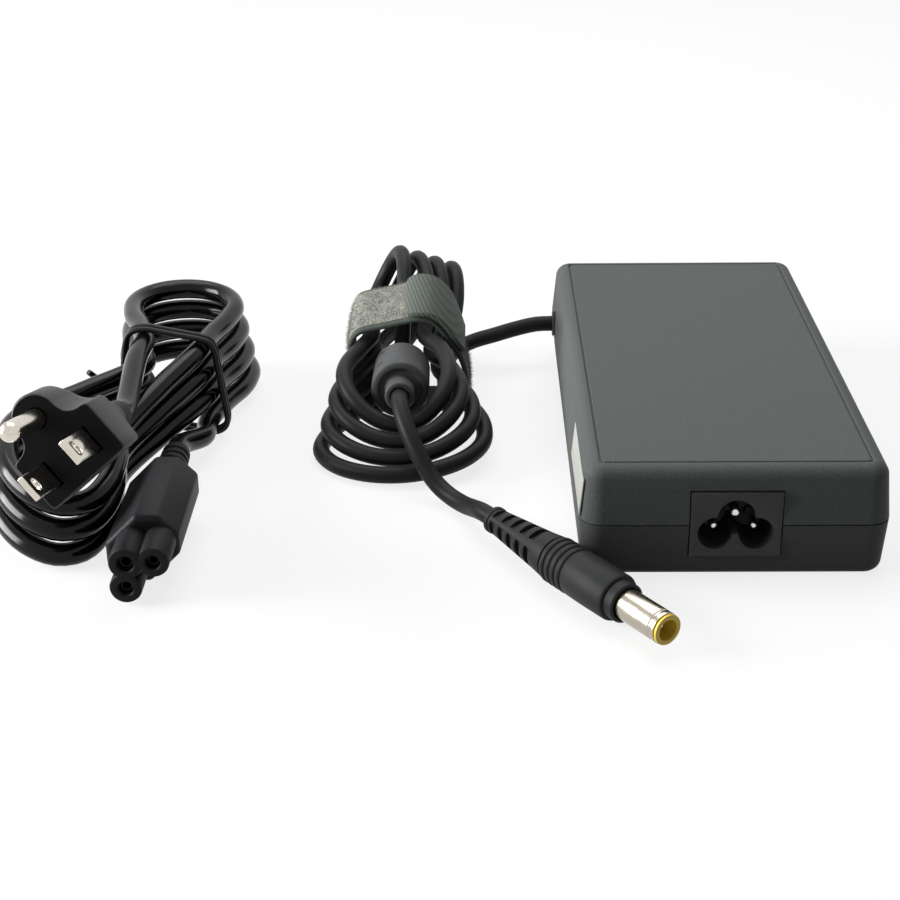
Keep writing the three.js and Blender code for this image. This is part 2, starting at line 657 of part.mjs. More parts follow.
const bulkRadius = BULK_CAPACITOR.diameter / 2;
addMesh('bulk_capacitor', turned(
  [
    [0, 0], [bulkRadius - 1, 0], [bulkRadius, 1], [bulkRadius, 3], [bulkRadius - 0.8, 4], [bulkRadius, 5],
    [bulkRadius, BULK_CAPACITOR.length - 1], [bulkRadius - 1, BULK_CAPACITOR.length], [0, BULK_CAPACITOR.length],
  ],
  new THREE.Vector3(BULK_CAPACITOR.x, BULK_CAPACITOR.y - BULK_CAPACITOR.length / 2, seat + bulkRadius),
  BACK,
  20,
), capacitorSleeve);

// Each heatsink is an upright plate with a foot turned in along the board
function heatsink(place) {
  const inward = -Math.sign(place.x);
  const half = HEATSINK.thickness / 2;
  const inner = place.x + inward * (HEATSINK.foot + half);
  const outer = place.x - inward * half;
  const front = place.y - place.length / 2;
  const footFront = place.footAtFront ? front : front + place.length - HEATSINK.foot;
  return join(
    box(
      place.x - half,
      place.x + half,
      front,
      front + place.length,
      seat,
      seat + HEATSINK.height,
    ),
    box(
      Math.min(inner, outer),
      Math.max(inner, outer),
      footFront,
      footFront + HEATSINK.foot,
      seat,
      seat + HEATSINK.thickness,
    ),
  );
}
addMesh('primary_heatsink', heatsink(PRIMARY_HEATSINK), aluminium);
addMesh('secondary_heatsink', heatsink(SECONDARY_HEATSINK), aluminium);

// A power transistor: epoxy body, metal tab behind it and three legs down to the board
function transistor(plate, y) {
  const inward = -Math.sign(plate.x);
  const back = plate.x + inward * (HEATSINK.thickness / 2 + GAP);
  const front = back + inward * TRANSISTOR.thickness;
  const tabFront = back + inward * TRANSISTOR.tab;
  const low = seat + TRANSISTOR.leg;
  const span = (a, b) => [Math.min(a, b), Math.max(a, b)];
  const middle = (back + front) / 2;
  const legs = [-2.5, 0, 2.5].map((dy) => box(middle - 0.4, middle + 0.4, y + dy - 0.5, y + dy + 0.5, seat, low + 1));
  const half = TRANSISTOR.width / 2;
  return join(
    box(...span(back, front), y - half, y + half, low, low + TRANSISTOR.height * 0.6),
    box(...span(back, tabFront), y - half, y + half, low, low + TRANSISTOR.height),
    ...legs,
  );
}
addMesh('switch_transistor', transistor(PRIMARY_HEATSINK, SWITCH_Y), chipEpoxy);
addMesh('rectifier_transistor', transistor(SECONDARY_HEATSINK, RECTIFIER_Y), chipEpoxy);

// Flat transformer: a two-window core round a winding on its middle leg
const T = TRANSFORMER;
const coreMiddle = seat + WINDING_HEIGHT / 2;
const windowFront = T.y - T.length / 2 + T.yoke;
const windowBack = T.y + T.length / 2 - T.yoke;
const legHalf = T.leg / 2;
function coreCut(x0, x1, z0, z1) {
  return box(T.x + x0, T.x + x1, windowFront, windowBack, coreMiddle + z0, coreMiddle + z1);
}
addMesh('transformer_core', cut(
  box(
    T.x - T.width / 2,
    T.x + T.width / 2,
    T.y - T.length / 2,
    T.y + T.length / 2,
    coreMiddle - T.height / 2,
    coreMiddle + T.height / 2,
  ),
  coreCut(legHalf, legHalf + T.window, -T.height, T.height),
  coreCut(-legHalf - T.window, -legHalf, -T.height, T.height),
  coreCut(-legHalf - 1, legHalf + 1, T.legHeight / 2, T.height),
  coreCut(-legHalf - 1, legHalf + 1, -T.height, -T.legHeight / 2),
), ferriteGrey);
const windingHalfWidth = legHalf + T.window - GAP;
addMesh('transformer_winding', cut(
  box(
    T.x - windingHalfWidth,
    T.x + windingHalfWidth,
    windowFront + GAP,
    windowBack - GAP,
    seat,
    seat + WINDING_HEIGHT,
  ),
  box(
    T.x - legHalf - GAP,
    T.x + legHalf + GAP,
    windowFront - 1,
    windowBack + 1,
    coreMiddle - T.legHeight / 2 - GAP,
    coreMiddle + T.legHeight / 2 + GAP,
  ),
), windingTape);

const outputRadius = OUTPUT_CAPACITOR.diameter / 2;
OUTPUT_CAPACITOR_XS.forEach((x, i) => addMesh(`output_capacitor_${i + 1}`, turned(
  [
    [0, 0], [outputRadius - 0.5, 0], [outputRadius, 0.8], [outputRadius - 0.5, 1.8], [outputRadius, 2.8],
    [outputRadius, OUTPUT_CAPACITOR.height - 0.5], [outputRadius - 0.5, OUTPUT_CAPACITOR.height],
    [0, OUTPUT_CAPACITOR.height],
  ],
  new THREE.Vector3(x, OUTPUT_ROW_Y, seat),
  UP,
  16,
), capacitorSleeve));

const drumRadius = OUTPUT_CHOKE.diameter / 2;
const drumWaist = OUTPUT_CHOKE.waist / 2;
addMesh('output_choke', turned(
  [
    [0, 0], [drumRadius, 0], [drumRadius, OUTPUT_CHOKE.flange], [drumWaist, OUTPUT_CHOKE.flange],
    [drumWaist, OUTPUT_CHOKE.height - OUTPUT_CHOKE.flange],
    [drumRadius, OUTPUT_CHOKE.height - OUTPUT_CHOKE.flange], [drumRadius, OUTPUT_CHOKE.height],
    [0, OUTPUT_CHOKE.height],
  ],
  new THREE.Vector3(OUTPUT_CHOKE.x, OUTPUT_ROW_Y, seat),
  UP,
  20,
), ferriteGrey);

const spreaderTop = ceiling - GAP;
const spreaderLow = spreaderTop - SPREADER_THICKNESS;
addMesh('heat_spreader_plate', roundedBlock(
  0,
  0,
  spreaderLow,
  SPREADER_WIDTH,
  SPREADER_LENGTH,
  SPREADER_THICKNESS,
  2,
), aluminium);
addMesh('insulation_sheet', roundedBlock(
  0,
  0,
  spreaderLow - GAP - SHEET_THICKNESS,
  SHEET_WIDTH,
  SHEET_LENGTH,
  SHEET_THICKNESS,
  2,
), sheetFilm);

// ---- low-voltage lead: grommet and wires ----

const grommetInner = -wallInside - GAP;
const grommetEnd = grommetInner - GROMMET_FLANGE_THICKNESS;
const collarEnd = GROMMET_COLLAR_LENGTH;
addMesh('output_grommet', turned(
  [
    [0, grommetEnd], [GROMMET_FLANGE_DIAMETER / 2, grommetEnd], [GROMMET_FLANGE_DIAMETER / 2, grommetInner],
    [GROMMET_NECK_DIAMETER / 2, grommetInner], [GROMMET_NECK_DIAMETER / 2, GAP],
    [GROMMET_COLLAR_DIAMETER / 2, GAP], [GROMMET_COLLAR_DIAMETER / 2, collarEnd - 0.4],
    [GROMMET_COLLAR_DIAMETER / 2 - 0.4, collarEnd], [0, collarEnd],
  ],
  exitPoint,
  LEFT,
), mouldedBlack);

[1, -1].forEach((side) => {
  const y = LEAD_EXIT_Y + (side * OUTPUT_WIRE_SPACING) / 2;
  const x = leftFace - grommetEnd + GAP;
  const low = seat + 0.2;
  const path = [
    [x, y, CASE_PARTING_HEIGHT], [x + 3, y, CASE_PARTING_HEIGHT], [x + 6.5, y, CASE_PARTING_HEIGHT - 2.5],
    [x + 8, y, low + 3], [x + 8, y, low],
  ];
  const name = side > 0 ? 'output_wire_positive' : 'output_wire_negative';
  addMesh(name, cord(path, OUTPUT_WIRE_DIAMETER, 8, 1.2), side > 0 ? wireRed : wireBlack);
});

// ---- low-voltage lead: folded hank ----

function ease(x) {
  const k = Math.min(1, Math.max(0, x));
  return k * k * (3 - 2 * k);
}

// One point of a hank. The turns run round a waist at u = 0, out to a near and a far lobe.
// Each quantity of the turn is blended from its waist value to its value in the lobe.
function hankPoint(h, t) {
  const phase = 2 * Math.PI * t;
  const s = Math.sin(phase);
  const c = Math.cos(phase);
  const near = s > 0;
  const soft = Math.hypot(s, h.soften) - h.soften;
  const reach = near ? h.nearReach - h.nearStep * t : h.farReach - h.farStep * t;
  const inNear = ease(Math.max(0, s) / h.nearBlend);
  const inFar = ease(Math.max(0, -s) / h.farBlend);
  const mix = ([atNear, atWaist, atFar]) => atWaist + (atNear - atWaist) * inNear + (atFar - atWaist) * inFar;
  const lean = THREE.MathUtils.degToRad(mix(h.lean));
  const bulge = near ? h.nearBulge * (1 - h.nearFlat * s * s) : h.farBulge * (1 - h.farFlat * s * s);
  const half = h.waist + bulge * soft - mix(h.shrink) * t;
  const nearTip = near ? s ** 6 : 0;
  const farTip = near ? 0 : s ** 4;
  const level = t * (mix(h.pitch) + h.nearTipPitch * nearTip);
  const x = mix(h.x) + h.nearTipX * nearTip + h.farTipX * farTip;
  const z = mix(h.z) - h.farTipDrop * farTip;
  const across = h.hand * c * half;
  return new THREE.Vector3(
    x + across * Math.cos(lean) - level * Math.sin(lean),
    -reach * s,
    z + across * Math.sin(lean) + level * Math.cos(lean),
  ).applyAxisAngle(UP, h.turn).add(h.at);
}

function hankLine(h, from, to, steps) {
  const count = Math.round((to - from) * steps);
  return Array.from({ length: count + 1 }, (_, i) => hankPoint(h, from + ((to - from) * i) / count));
}

// Least distance of the tube's surface to itself, and its length
function measureTube(name, line, diameter) {
  const along = [0];
  for (let i = 1; i < line.length; i += 1) along.push(along[i - 1] + line[i].distanceTo(line[i - 1]));
  let least = Infinity;
  for (let i = 0; i < line.length; i += 1) {
    for (let j = i + 1; j < line.length; j += 1) {
      if (along[j] - along[i] > 3.2 * diameter) least = Math.min(least, line[i].distanceTo(line[j]));
    }
  }
  const length = along[along.length - 1];
  console.log(`${name}: length ${length.toFixed(0)} mm, least gap to itself ${(least - diameter).toFixed(2)} mm`);
}

function smoothLine(points, spacing) {
  const curve = new THREE.CatmullRomCurve3(points, false, 'centripetal');
  return curve.getSpacedPoints(Math.max(2, Math.round(curve.getLength() / spacing)));
}

const LOOP_STEPS = 24;
const LOOP_SIDES = 6;

const leadHank = {
  turns: 4,
  hand: 1,
  turn: 0,
  at: new THREE.Vector3(0, 30, 0),
  soften: 0.12,
  nearReach: 57.5,
  nearStep: 4.8,
  farReach: 48.8,
  farStep: 2,
  nearBlend: 0.8,
  farBlend: 0.99,
  waist: 10,
  nearBulge: 44.6,
  nearFlat: 0.23,
  farBulge: 18.7,
  farFlat: 0,
  lean: [5.4, 13.4, 60],
  shrink: [4, 0.75, 1.85],
  pitch: [6, 5.75, 5.8],
  nearTipPitch: -3.2,
  x: [-85, -82.5, -72.5],
  z: [2.6, 4.5, 18],
  nearTipX: 1.5,
  farTipX: 0,
  farTipDrop: 0,
};
// The last strand drops from the top of the far lobe, through the strap, to the bead
const LEAD_LAST_TURN = 3.84;
const LEAD_RUN_TO_BEAD = [
  [-85.6, 57, 36.4], [-85.2, 50, 32.6], [-85.3, 43, 27], [-85.6, 36.5, 21.2], [-85.6, 31, 17.4], [-85.5, 26.5, 15.7],
];

const beadStart = BEAD_REAR.clone().addScaledVector(BEAD_DIRECTION, -GAP);
const beadLeadIn = BEAD_REAR.clone().addScaledVector(BEAD_DIRECTION, -GAP - LEAD_DIAMETER);

function leadHankLine(steps) {
  const loops = hankLine(leadHank, 0, LEAD_LAST_TURN, steps);
  const first = loops[0];
  const straight = first.clone().add(new THREE.Vector3(0, LEAD_DIAMETER, 0));
  const run = [loops[loops.length - 2], loops[loops.length - 1]]
    .concat(LEAD_RUN_TO_BEAD.map((p) => new THREE.Vector3(...p)), [beadLeadIn, beadStart]);
  const tail = smoothLine(run, (6 * LEAD_DIAMETER * LOOP_STEPS) / (4 * steps));
  return [straight, ...loops.slice(0, -2), ...tail];
}
const leadLine = leadHankLine(LOOP_STEPS);
measureTube('dc_lead_hank', leadHankLine(4 * LOOP_STEPS), LEAD_DIAMETER);
addMesh('dc_lead_hank', sweep(leadLine, LEAD_DIAMETER / 2, LOOP_SIDES), leadJacket);

const hankStart = leadLine[0].clone().add(new THREE.Vector3(0, GAP, 0));
const leadExitX = leftFace - GROMMET_COLLAR_LENGTH - GAP;
addMesh('dc_lead_near', cord([
  [leadExitX, LEAD_EXIT_Y, CASE_PARTING_HEIGHT], [leadExitX - LEAD_DIAMETER, LEAD_EXIT_Y, CASE_PARTING_HEIGHT - 0.2],
  [-51, 60.2, 12.7], [-57.4, 60.2, 10.7], [-63.5, 58.8, 9.4], [-68.6, 55, 8.4], [-71.6, 49, 7.6],
  [hankStart.x, hankStart.y + LEAD_DIAMETER, hankStart.z], [hankStart.x, hankStart.y, hankStart.z],
], LEAD_DIAMETER), leadJacket);

// ---- low-voltage lead: bead ----

const beadRadius = BEAD_DIAMETER / 2;
const bossRadius = BEAD_BOSS_DIAMETER / 2;
const leadBore = LEAD_DIAMETER / 2 + GAP;
const beadEnd = BEAD_LENGTH + BEAD_BOSS_LENGTH;
const pocketRadius = beadRadius - BEAD_SKIN;
addMesh('ferrite_shell', turned([
  [leadBore, 0], [beadRadius - BEAD_RIM, 0], [beadRadius, BEAD_RIM], [beadRadius, BEAD_LENGTH - BEAD_RIM],
  [beadRadius - BEAD_RIM, BEAD_LENGTH], [bossRadius, BEAD_LENGTH], [bossRadius, beadEnd - 0.6],
  [bossRadius - 0.6, beadEnd], [leadBore, beadEnd], [leadBore, BEAD_LENGTH - BEAD_END_SKIN],
  [pocketRadius, BEAD_LENGTH - BEAD_END_SKIN], [pocketRadius, BEAD_END_SKIN], [leadBore, BEAD_END_SKIN], [leadBore, 0],
], BEAD_REAR, BEAD_DIRECTION), beadPlastic);
addMesh('ferrite_core', pipe(
  leadBore + BEAD_CORE_BORE_WALL,
  pocketRadius - GAP,
  BEAD_END_SKIN + GAP,
  BEAD_LENGTH - BEAD_END_SKIN - GAP,
  BEAD_REAR,
  BEAD_DIRECTION,
), ferriteGrey);

// The lead runs on through the bead, over the near loops and down to the barrel plug
const beadPoint = (s) => BEAD_REAR.clone().addScaledVector(BEAD_DIRECTION, s).toArray();
const plugPoint = (s) => PLUG_START.clone().addScaledVector(PLUG_DIRECTION, s).toArray();
addMesh('dc_lead_tail', cord([
  beadPoint(0), beadPoint(beadEnd / 2), beadPoint(beadEnd), beadPoint(beadEnd + 2.5),
  [-84.6, -16.6, 20.5], [-83.6, -21.5, 18.6], [-81.8, -26, 15.4], [-79.6, -29.6, 11.8], [-77, -32.8, 8],
  [-73.8, -36, 4.7], [-70.3, -39.6, 3.1], [-66.7, -44.6, 3.2], [-64, -50, 4.8],
  plugPoint(-LEAD_DIAMETER), plugPoint(0),
], LEAD_DIAMETER, 8, 1.6), leadJacket);

// ---- low-voltage lead: strap ----

// Points of a closed outline, pushed outward by a distance
function outlineAt(points, distance) {
  const loop = new THREE.CatmullRomCurve3(points.map(([x, z]) => new THREE.Vector3(x, z, 0)), true, 'centripetal');
  const line = loop.getSpacedPoints(40).slice(0, -1);
  const area = line.reduce((sum, p, i) => {
    const q = line[(i + 1) % line.length];
    return sum + p.x * q.y - q.x * p.y;
  }, 0);
  const sign = Math.sign(area);
  return line.map((p, i) => {
    const before = line[(i + line.length - 1) % line.length];
    const after = line[(i + 1) % line.length];
    const along = after.clone().sub(before).normalize();
    return new THREE.Vector2(p.x + sign * along.y * distance, p.y - sign * along.x * distance);
  });
}

// A flat outline in x and z, given its width along Y
function strapSolid(shape, width, centreY) {
  const geometry = new THREE.ExtrudeGeometry(shape, { depth: width, steps: STRAP_STEPS, bevelEnabled: false });
  geometry.rotateX(Math.PI / 2);
  geometry.translate(0, centreY + width / 2, 0);
  const place = geometry.attributes.position;
  for (let i = 0; i < place.count; i += 1) {
    const share = THREE.MathUtils.smoothstep(place.getZ(i), STRAP_LEAN_FROM_Z, STRAP_LEAN_FULL_Z);
    place.setZ(i, place.getZ(i) + (place.getY(i) - centreY - STRAP_LEAN_PIVOT) * STRAP_LEAN * share);
  }
  geometry.computeVertexNormals();
  return geometry;
}
const bandOuter = strapSolid(new THREE.Shape(outlineAt(STRAP_INNER, STRAP_THICKNESS)), STRAP_WIDTH, STRAP_CENTRE_Y);
const bandInner = strapSolid(new THREE.Shape(outlineAt(STRAP_INNER, 0)), STRAP_WIDTH + 2, STRAP_CENTRE_Y);
addMesh('strap_loop_band', cut(bandOuter, bandInner), strapLoop);

const bundleOutline = outlineAt(STRAP_INNER, 0);
const underTab = (_, i) => bundleOutline[i].x > STRAP_TAB_FREE_X && bundleOutline[i].y > STRAP_TAB_SEWN_Z;
const tabInner = outlineAt(STRAP_INNER, STRAP_THICKNESS + GAP).filter(underTab);
const tabOuter = outlineAt(STRAP_INNER, STRAP_THICKNESS + GAP + STRAP_TAB_THICKNESS).filter(underTab);
const tabShape = new THREE.Shape([...tabInner, ...tabOuter.reverse()]);
addMesh('strap_hook_tab', strapSolid(tabShape, STRAP_WIDTH, STRAP_CENTRE_Y), strapHook);

// ---- barrel plug ----

const reliefEnd = PLUG_RELIEF_LENGTH;
const reliefRadius = PLUG_RELIEF_DIAMETER / 2;
const reliefEndRadius = PLUG_RELIEF_END_DIAMETER / 2;
addMesh('plug_strain_relief', turned([
  [0, GAP], [reliefRadius - 0.3, GAP], [reliefRadius, GAP + 0.5],
  [PLUG_RELIEF_BEND_DIAMETER / 2, PLUG_RELIEF_BEND], [reliefEndRadius, reliefEnd], [0, reliefEnd],
], PLUG_START, PLUG_DIRECTION, 20), plugPlastic);

const ribStart = reliefEnd + GAP;
const ribRadius = PLUG_RIB_DIAMETER / 2;
const ribRoot = PLUG_RIB_ROOT_DIAMETER / 2;
const plugRadius = PLUG_BODY_DIAMETER / 2;
const plugProfile = [[0, ribStart], [ribRoot, ribStart]];
for (let i = 0; i < PLUG_RIB_COUNT; i += 1) {
  const s = ribStart + i * PLUG_RIB_PITCH;
  plugProfile.push(
    [ribRoot, s + 0.2 * PLUG_RIB_PITCH],
    [ribRadius, s + 0.35 * PLUG_RIB_PITCH],
    [ribRadius, s + 0.75 * PLUG_RIB_PITCH],
    [ribRoot, s + 0.9 * PLUG_RIB_PITCH],
  );
}
const bodyStart = ribStart + PLUG_RIB_COUNT * PLUG_RIB_PITCH;
const bodyEnd = bodyStart + PLUG_BODY_LENGTH;
const collarFront = bodyEnd + PLUG_COLLAR_LENGTH;
const seatFloor = collarFront - PLUG_SEAT_DEPTH;
const barrelRadius = PLUG_BARREL_DIAMETER / 2;
plugProfile.push(
  [plugRadius, bodyStart + 0.5],
  [plugRadius, bodyEnd - 0.8],
  [plugRadius - 0.8, bodyEnd],
  [PLUG_COLLAR_DIAMETER / 2, bodyEnd],
  [PLUG_COLLAR_DIAMETER / 2, collarFront - 0.4],
  [PLUG_COLLAR_DIAMETER / 2 - 0.4, collarFront],
  [barrelRadius + GAP, collarFront],
  [barrelRadius + GAP, seatFloor],
  [0, seatFloor],
);
addMesh('plug_body', turned(plugProfile, PLUG_START, PLUG_DIRECTION), plugPlastic);

const barrelBack = seatFloor + GAP;
const barrelFront = collarFront + PLUG_BARREL_LENGTH;
const barrelBore = barrelRadius - PLUG_BARREL_WALL;
addMesh('plug_barrel', pipe(barrelBore, barrelRadius, barrelBack, barrelFront, PLUG_START, PLUG_DIRECTION), barrelNickel);
const ringBack = barrelFront + GAP;
const ringFront = ringBack + PLUG_TIP_RING_LENGTH;
const sleeveRadius = barrelBore - GAP;
const boreRadius = PLUG_BORE_DIAMETER / 2;
const plugPinRadius = PLUG_PIN_DIAMETER / 2;
addMesh('plug_insulator', turned([
  [plugPinRadius + GAP, barrelBack], [sleeveRadius, barrelBack], [sleeveRadius, ringBack],
  [PLUG_TIP_RING_DIAMETER / 2, ringBack], [PLUG_TIP_RING_DIAMETER / 2, ringFront], [boreRadius, ringFront],
  [boreRadius, collarFront], [plugPinRadius + GAP, collarFront], [plugPinRadius + GAP, barrelBack],
], PLUG_START, PLUG_DIRECTION), insulatorYellow);
const pinTip = ringFront - PLUG_PIN_SETBACK;
addMesh('plug_centre_pin', turned([
  [0, barrelBack], [plugPinRadius, barrelBack], [plugPinRadius, pinTip - plugPinRadius],
  [plugPinRadius * 0.5, pinTip], [0, pinTip],
], PLUG_START, PLUG_DIRECTION, 12), pinMetal);

// ---- appliance connector on the mains lead ----

const connectorBack = CONNECTOR_FACE_Y + CONNECTOR_NOSE_LENGTH + CONNECTOR_BODY_LENGTH;
// Local axes of the rolled connector: a across its two live holes, b toward its earth hole
function connectorPoint(a, b, y) {
  const c = Math.cos(CONNECTOR_ROLL);
  const s = Math.sin(CONNECTOR_ROLL);
  return new THREE.Vector3(CONNECTOR_X + a * c - b * s, y, CONNECTOR_Z + a * s + b * c);
}
const noseBack = CONNECTOR_FACE_Y + CONNECTOR_NOSE_LENGTH;
const chamferWidth = CONNECTOR_BODY_HALF_WIDTH - CONNECTOR_CHAMFER;
const chamferHeight = CONNECTOR_BODY_HALF_HEIGHT - CONNECTOR_CHAMFER;
const octagon = [
  [CONNECTOR_BODY_HALF_WIDTH, -chamferHeight], [CONNECTOR_BODY_HALF_WIDTH, chamferHeight],
  [chamferWidth, CONNECTOR_BODY_HALF_HEIGHT], [-chamferWidth, CONNECTOR_BODY_HALF_HEIGHT],
  [-CONNECTOR_BODY_HALF_WIDTH, chamferHeight], [-CONNECTOR_BODY_HALF_WIDTH, -chamferHeight],
  [-chamferWidth, -CONNECTOR_BODY_HALF_HEIGHT], [chamferWidth, -CONNECTOR_BODY_HALF_HEIGHT],
].reverse();
function connectorRing(y, shrink) {
  return octagon.map(([a, b]) => connectorPoint(a - Math.sign(a) * shrink, b - Math.sign(b) * shrink, y));
}
const connectorBlock = skin([
  connectorRing(noseBack - 0.5, 0.8),
  connectorRing(noseBack + 0.3, 0),
  connectorRing(connectorBack - 1, 0),
  connectorRing(connectorBack, 1),
]);
const holes = [
  { name: 'line', a: -CONNECTOR_LIVE_SPACING / 2, b: -CONNECTOR_LIVE_DROP, lobe: CONNECTOR_LIVE_LOBE_RADIUS },
  { name: 'neutral', a: CONNECTOR_LIVE_SPACING / 2, b: -CONNECTOR_LIVE_DROP, lobe: CONNECTOR_LIVE_LOBE_RADIUS },
  { name: 'earth', a: 0, b: CONNECTOR_EARTH_RISE, lobe: CONNECTOR_EARTH_LOBE_RADIUS },
];
holes.forEach((hole) => {
  hole.radius = (hole.name === 'earth' ? CONNECTOR_EARTH_HOLE : CONNECTOR_LIVE_HOLE) / 2;
  hole.face = connectorPoint(hole.a, hole.b, CONNECTOR_FACE_Y);
});
addMesh('connector_body', cut(
  join(connectorBlock, ...holes.map((hole) => turned(
    [[0, 0], [hole.lobe - 0.5, 0], [hole.lobe, 0.5], [hole.lobe, CONNECTOR_NOSE_LENGTH + 1], [0, CONNECTOR_NOSE_LENGTH + 1]],
    hole.face,
    BACK,
    20,
  ))),
  ...holes.map((hole) => rod(hole.radius, -1, CONNECTOR_HOLE_DEPTH, hole.face, BACK, 16)),
), mainsPlastic);
holes.forEach((hole) => {
  const outer = hole.radius - GAP;
  addMesh(`connector_contact_${hole.name}`, pipe(
    outer - CONTACT_WALL,
    outer,
    CONTACT_SETBACK,
    CONNECTOR_HOLE_DEPTH - GAP,
    hole.face,
    BACK,
    12,
  ), pinMetal);
});

// A tapered relief with shallow rings cut round it
function ribbedRelief(from, length, startDiameter, endDiameter) {
  const radiusAt = (k) => (startDiameter + (endDiameter - startDiameter) * k) / 2;
  const profile = [[0, from], [radiusAt(0), from]];
  const pitch = 1 / (RELIEF_GROOVE_COUNT + 1);
  for (let i = 1; i <= RELIEF_GROOVE_COUNT; i += 1) {
    const k = i * pitch;
    profile.push(
      [radiusAt(k), from + (k - 0.2 * pitch) * length],
      [radiusAt(k) - RELIEF_GROOVE_DEPTH, from + (k - 0.12 * pitch) * length],
      [radiusAt(k) - RELIEF_GROOVE_DEPTH, from + (k + 0.12 * pitch) * length],
      [radiusAt(k), from + (k + 0.2 * pitch) * length],
    );
  }
  profile.push([radiusAt(1), from + length], [0, from + length]);
  return profile;
}
const connectorAxis = new THREE.Vector3(CONNECTOR_X, connectorBack, CONNECTOR_Z);
addMesh('connector_strain_relief', turned(
  ribbedRelief(GAP, CONNECTOR_RELIEF_LENGTH, CONNECTOR_RELIEF_DIAMETER, CONNECTOR_RELIEF_END_DIAMETER),
  connectorAxis,
  BACK,
  16,
), mainsPlastic);

// ---- mains plug ----

const plugOut = MAINS_PLUG_OUT;
const plugAcross = MAINS_PLUG_ACROSS.clone().addScaledVector(plugOut, -MAINS_PLUG_ACROSS.dot(plugOut)).normalize();
const plugEarthward = new THREE.Vector3().crossVectors(plugOut, plugAcross);
// Local frame of the plug: p across its blades, q toward its earth pin, s out of its face
const plugFrame = new THREE.Matrix4().makeBasis(plugAcross, plugEarthward, plugOut).setPosition(MAINS_PLUG_FACE);

// Face outline: a rectangle with a round lobe for the earth pin, joined by hollow necks
function plugOutline() {
  const outline = [
    [-MAINS_PLUG_HALF_WIDTH + 1, MAINS_PLUG_BOTTOM],
    [MAINS_PLUG_HALF_WIDTH - 1, MAINS_PLUG_BOTTOM],
    [MAINS_PLUG_HALF_WIDTH, MAINS_PLUG_BOTTOM + 1],
    [MAINS_PLUG_HALF_WIDTH, MAINS_PLUG_SHOULDER - 1],
    [MAINS_PLUG_HALF_WIDTH - 0.8, MAINS_PLUG_SHOULDER],
    [MAINS_PLUG_NECK_HALF_WIDTH + 3, MAINS_PLUG_SHOULDER + 0.5],
    [MAINS_PLUG_NECK_HALF_WIDTH + 1.1, MAINS_PLUG_SHOULDER + 1.9],
    [MAINS_PLUG_NECK_HALF_WIDTH + 0.2, MAINS_PLUG_NECK_HEIGHT],
  ];
  const lobe = [20, 45, 70, 90].map((angle) => {
    const turn = THREE.MathUtils.degToRad(angle);
    return [EARTH_LOBE_RADIUS * Math.cos(turn), EARTH_PIN_RISE + 0.4 + EARTH_LOBE_RADIUS * Math.sin(turn)];
  });
  const right = outline.slice(1).concat(lobe);
  const left = right.slice(0, -1).reverse().map(([p, q]) => [-p, q]);
  return right.concat(left);
}
const faceOutline = plugOutline();
const gripCentre = MAINS_PLUG_AXIS_RISE;
function plugRing(s, keep, radius) {
  return faceOutline.map(([p, q]) => {
    const angle = Math.atan2(q - gripCentre, p);
    const roundP = radius * Math.cos(angle);
    const roundQ = gripCentre + radius * Math.sin(angle);
    const point = new THREE.Vector3(roundP + (p - roundP) * keep, roundQ + (q - roundQ) * keep, s);
    return point.applyMatrix4(plugFrame);
  });
}
const gripEnd = -MAINS_PLUG_DEPTH - MAINS_PLUG_GRIP_LENGTH;
const gripEndRadius = MAINS_RELIEF_DIAMETER / 2 + 0.6;
const plugBlank = skin([
  plugRing(gripEnd, 0, gripEndRadius),
  plugRing(gripEnd + 0.35 * MAINS_PLUG_GRIP_LENGTH, 0, gripEndRadius + 2),
  plugRing(gripEnd + 0.62 * MAINS_PLUG_GRIP_LENGTH, 0.3, gripEndRadius + 2.6),
  plugRing(gripEnd + 0.85 * MAINS_PLUG_GRIP_LENGTH, 0.72, gripEndRadius + 3),
  plugRing(-MAINS_PLUG_DEPTH, 0.96, gripEndRadius + 3),
  plugRing(-MAINS_PLUG_DEPTH + 1, 1, 1),
  plugRing(-0.4, 1, 1),
  plugRing(0, 0.965, 1),
]);
function blade(side, grow) {
  const p = (side * BLADE_SPACING) / 2;
  const halfP = BLADE_THICKNESS / 2 + grow;
  const halfQ = BLADE_WIDTH / 2 + grow;
  const tip = grow ? 1 : BLADE_LENGTH;
  const root = grow ? -PRONG_ROOT_DEPTH : GAP - PRONG_ROOT_DEPTH;
  return { p, geometry: box(p - halfP, p + halfP, -halfQ, halfQ, root, tip) };
}
const earthRadius = EARTH_PIN_DIAMETER / 2;
const earthRoot = new THREE.Vector3(0, EARTH_PIN_RISE, 0);
addMesh('mains_plug_body', cut(
  plugBlank,
  blade(-1, GAP).geometry.applyMatrix4(plugFrame),
  blade(1, GAP).geometry.applyMatrix4(plugFrame),
  rod(earthRadius + GAP, -PRONG_ROOT_DEPTH, 1, earthRoot, UP, 20).applyMatrix4(plugFrame),
), mainsPlastic);
[[-1, 'line'], [1, 'neutral']].forEach(([side, name]) => {
  const { p, geometry } = blade(side, 0);
  const holeAt = new THREE.Vector3(p, 0, BLADE_LENGTH - BLADE_HOLE_FROM_TIP);
  const ACROSS = new THREE.Vector3(1, 0, 0);
  const pierced = cut(geometry, rod(BLADE_HOLE / 2, -BLADE_THICKNESS, BLADE_THICKNESS, holeAt, ACROSS, 12));
  addMesh(`mains_blade_${name}`, pierced.applyMatrix4(plugFrame), bladeNickel);
});
addMesh('mains_earth_pin', turned([
  [0, GAP - PRONG_ROOT_DEPTH], [earthRadius, GAP - PRONG_ROOT_DEPTH], [earthRadius, EARTH_PIN_LENGTH - 2],
  [earthRadius * 0.85, EARTH_PIN_LENGTH - 0.9], [earthRadius * 0.5, EARTH_PIN_LENGTH - 0.2], [0, EARTH_PIN_LENGTH],
], earthRoot, UP, 20).applyMatrix4(plugFrame), bladeNickel);

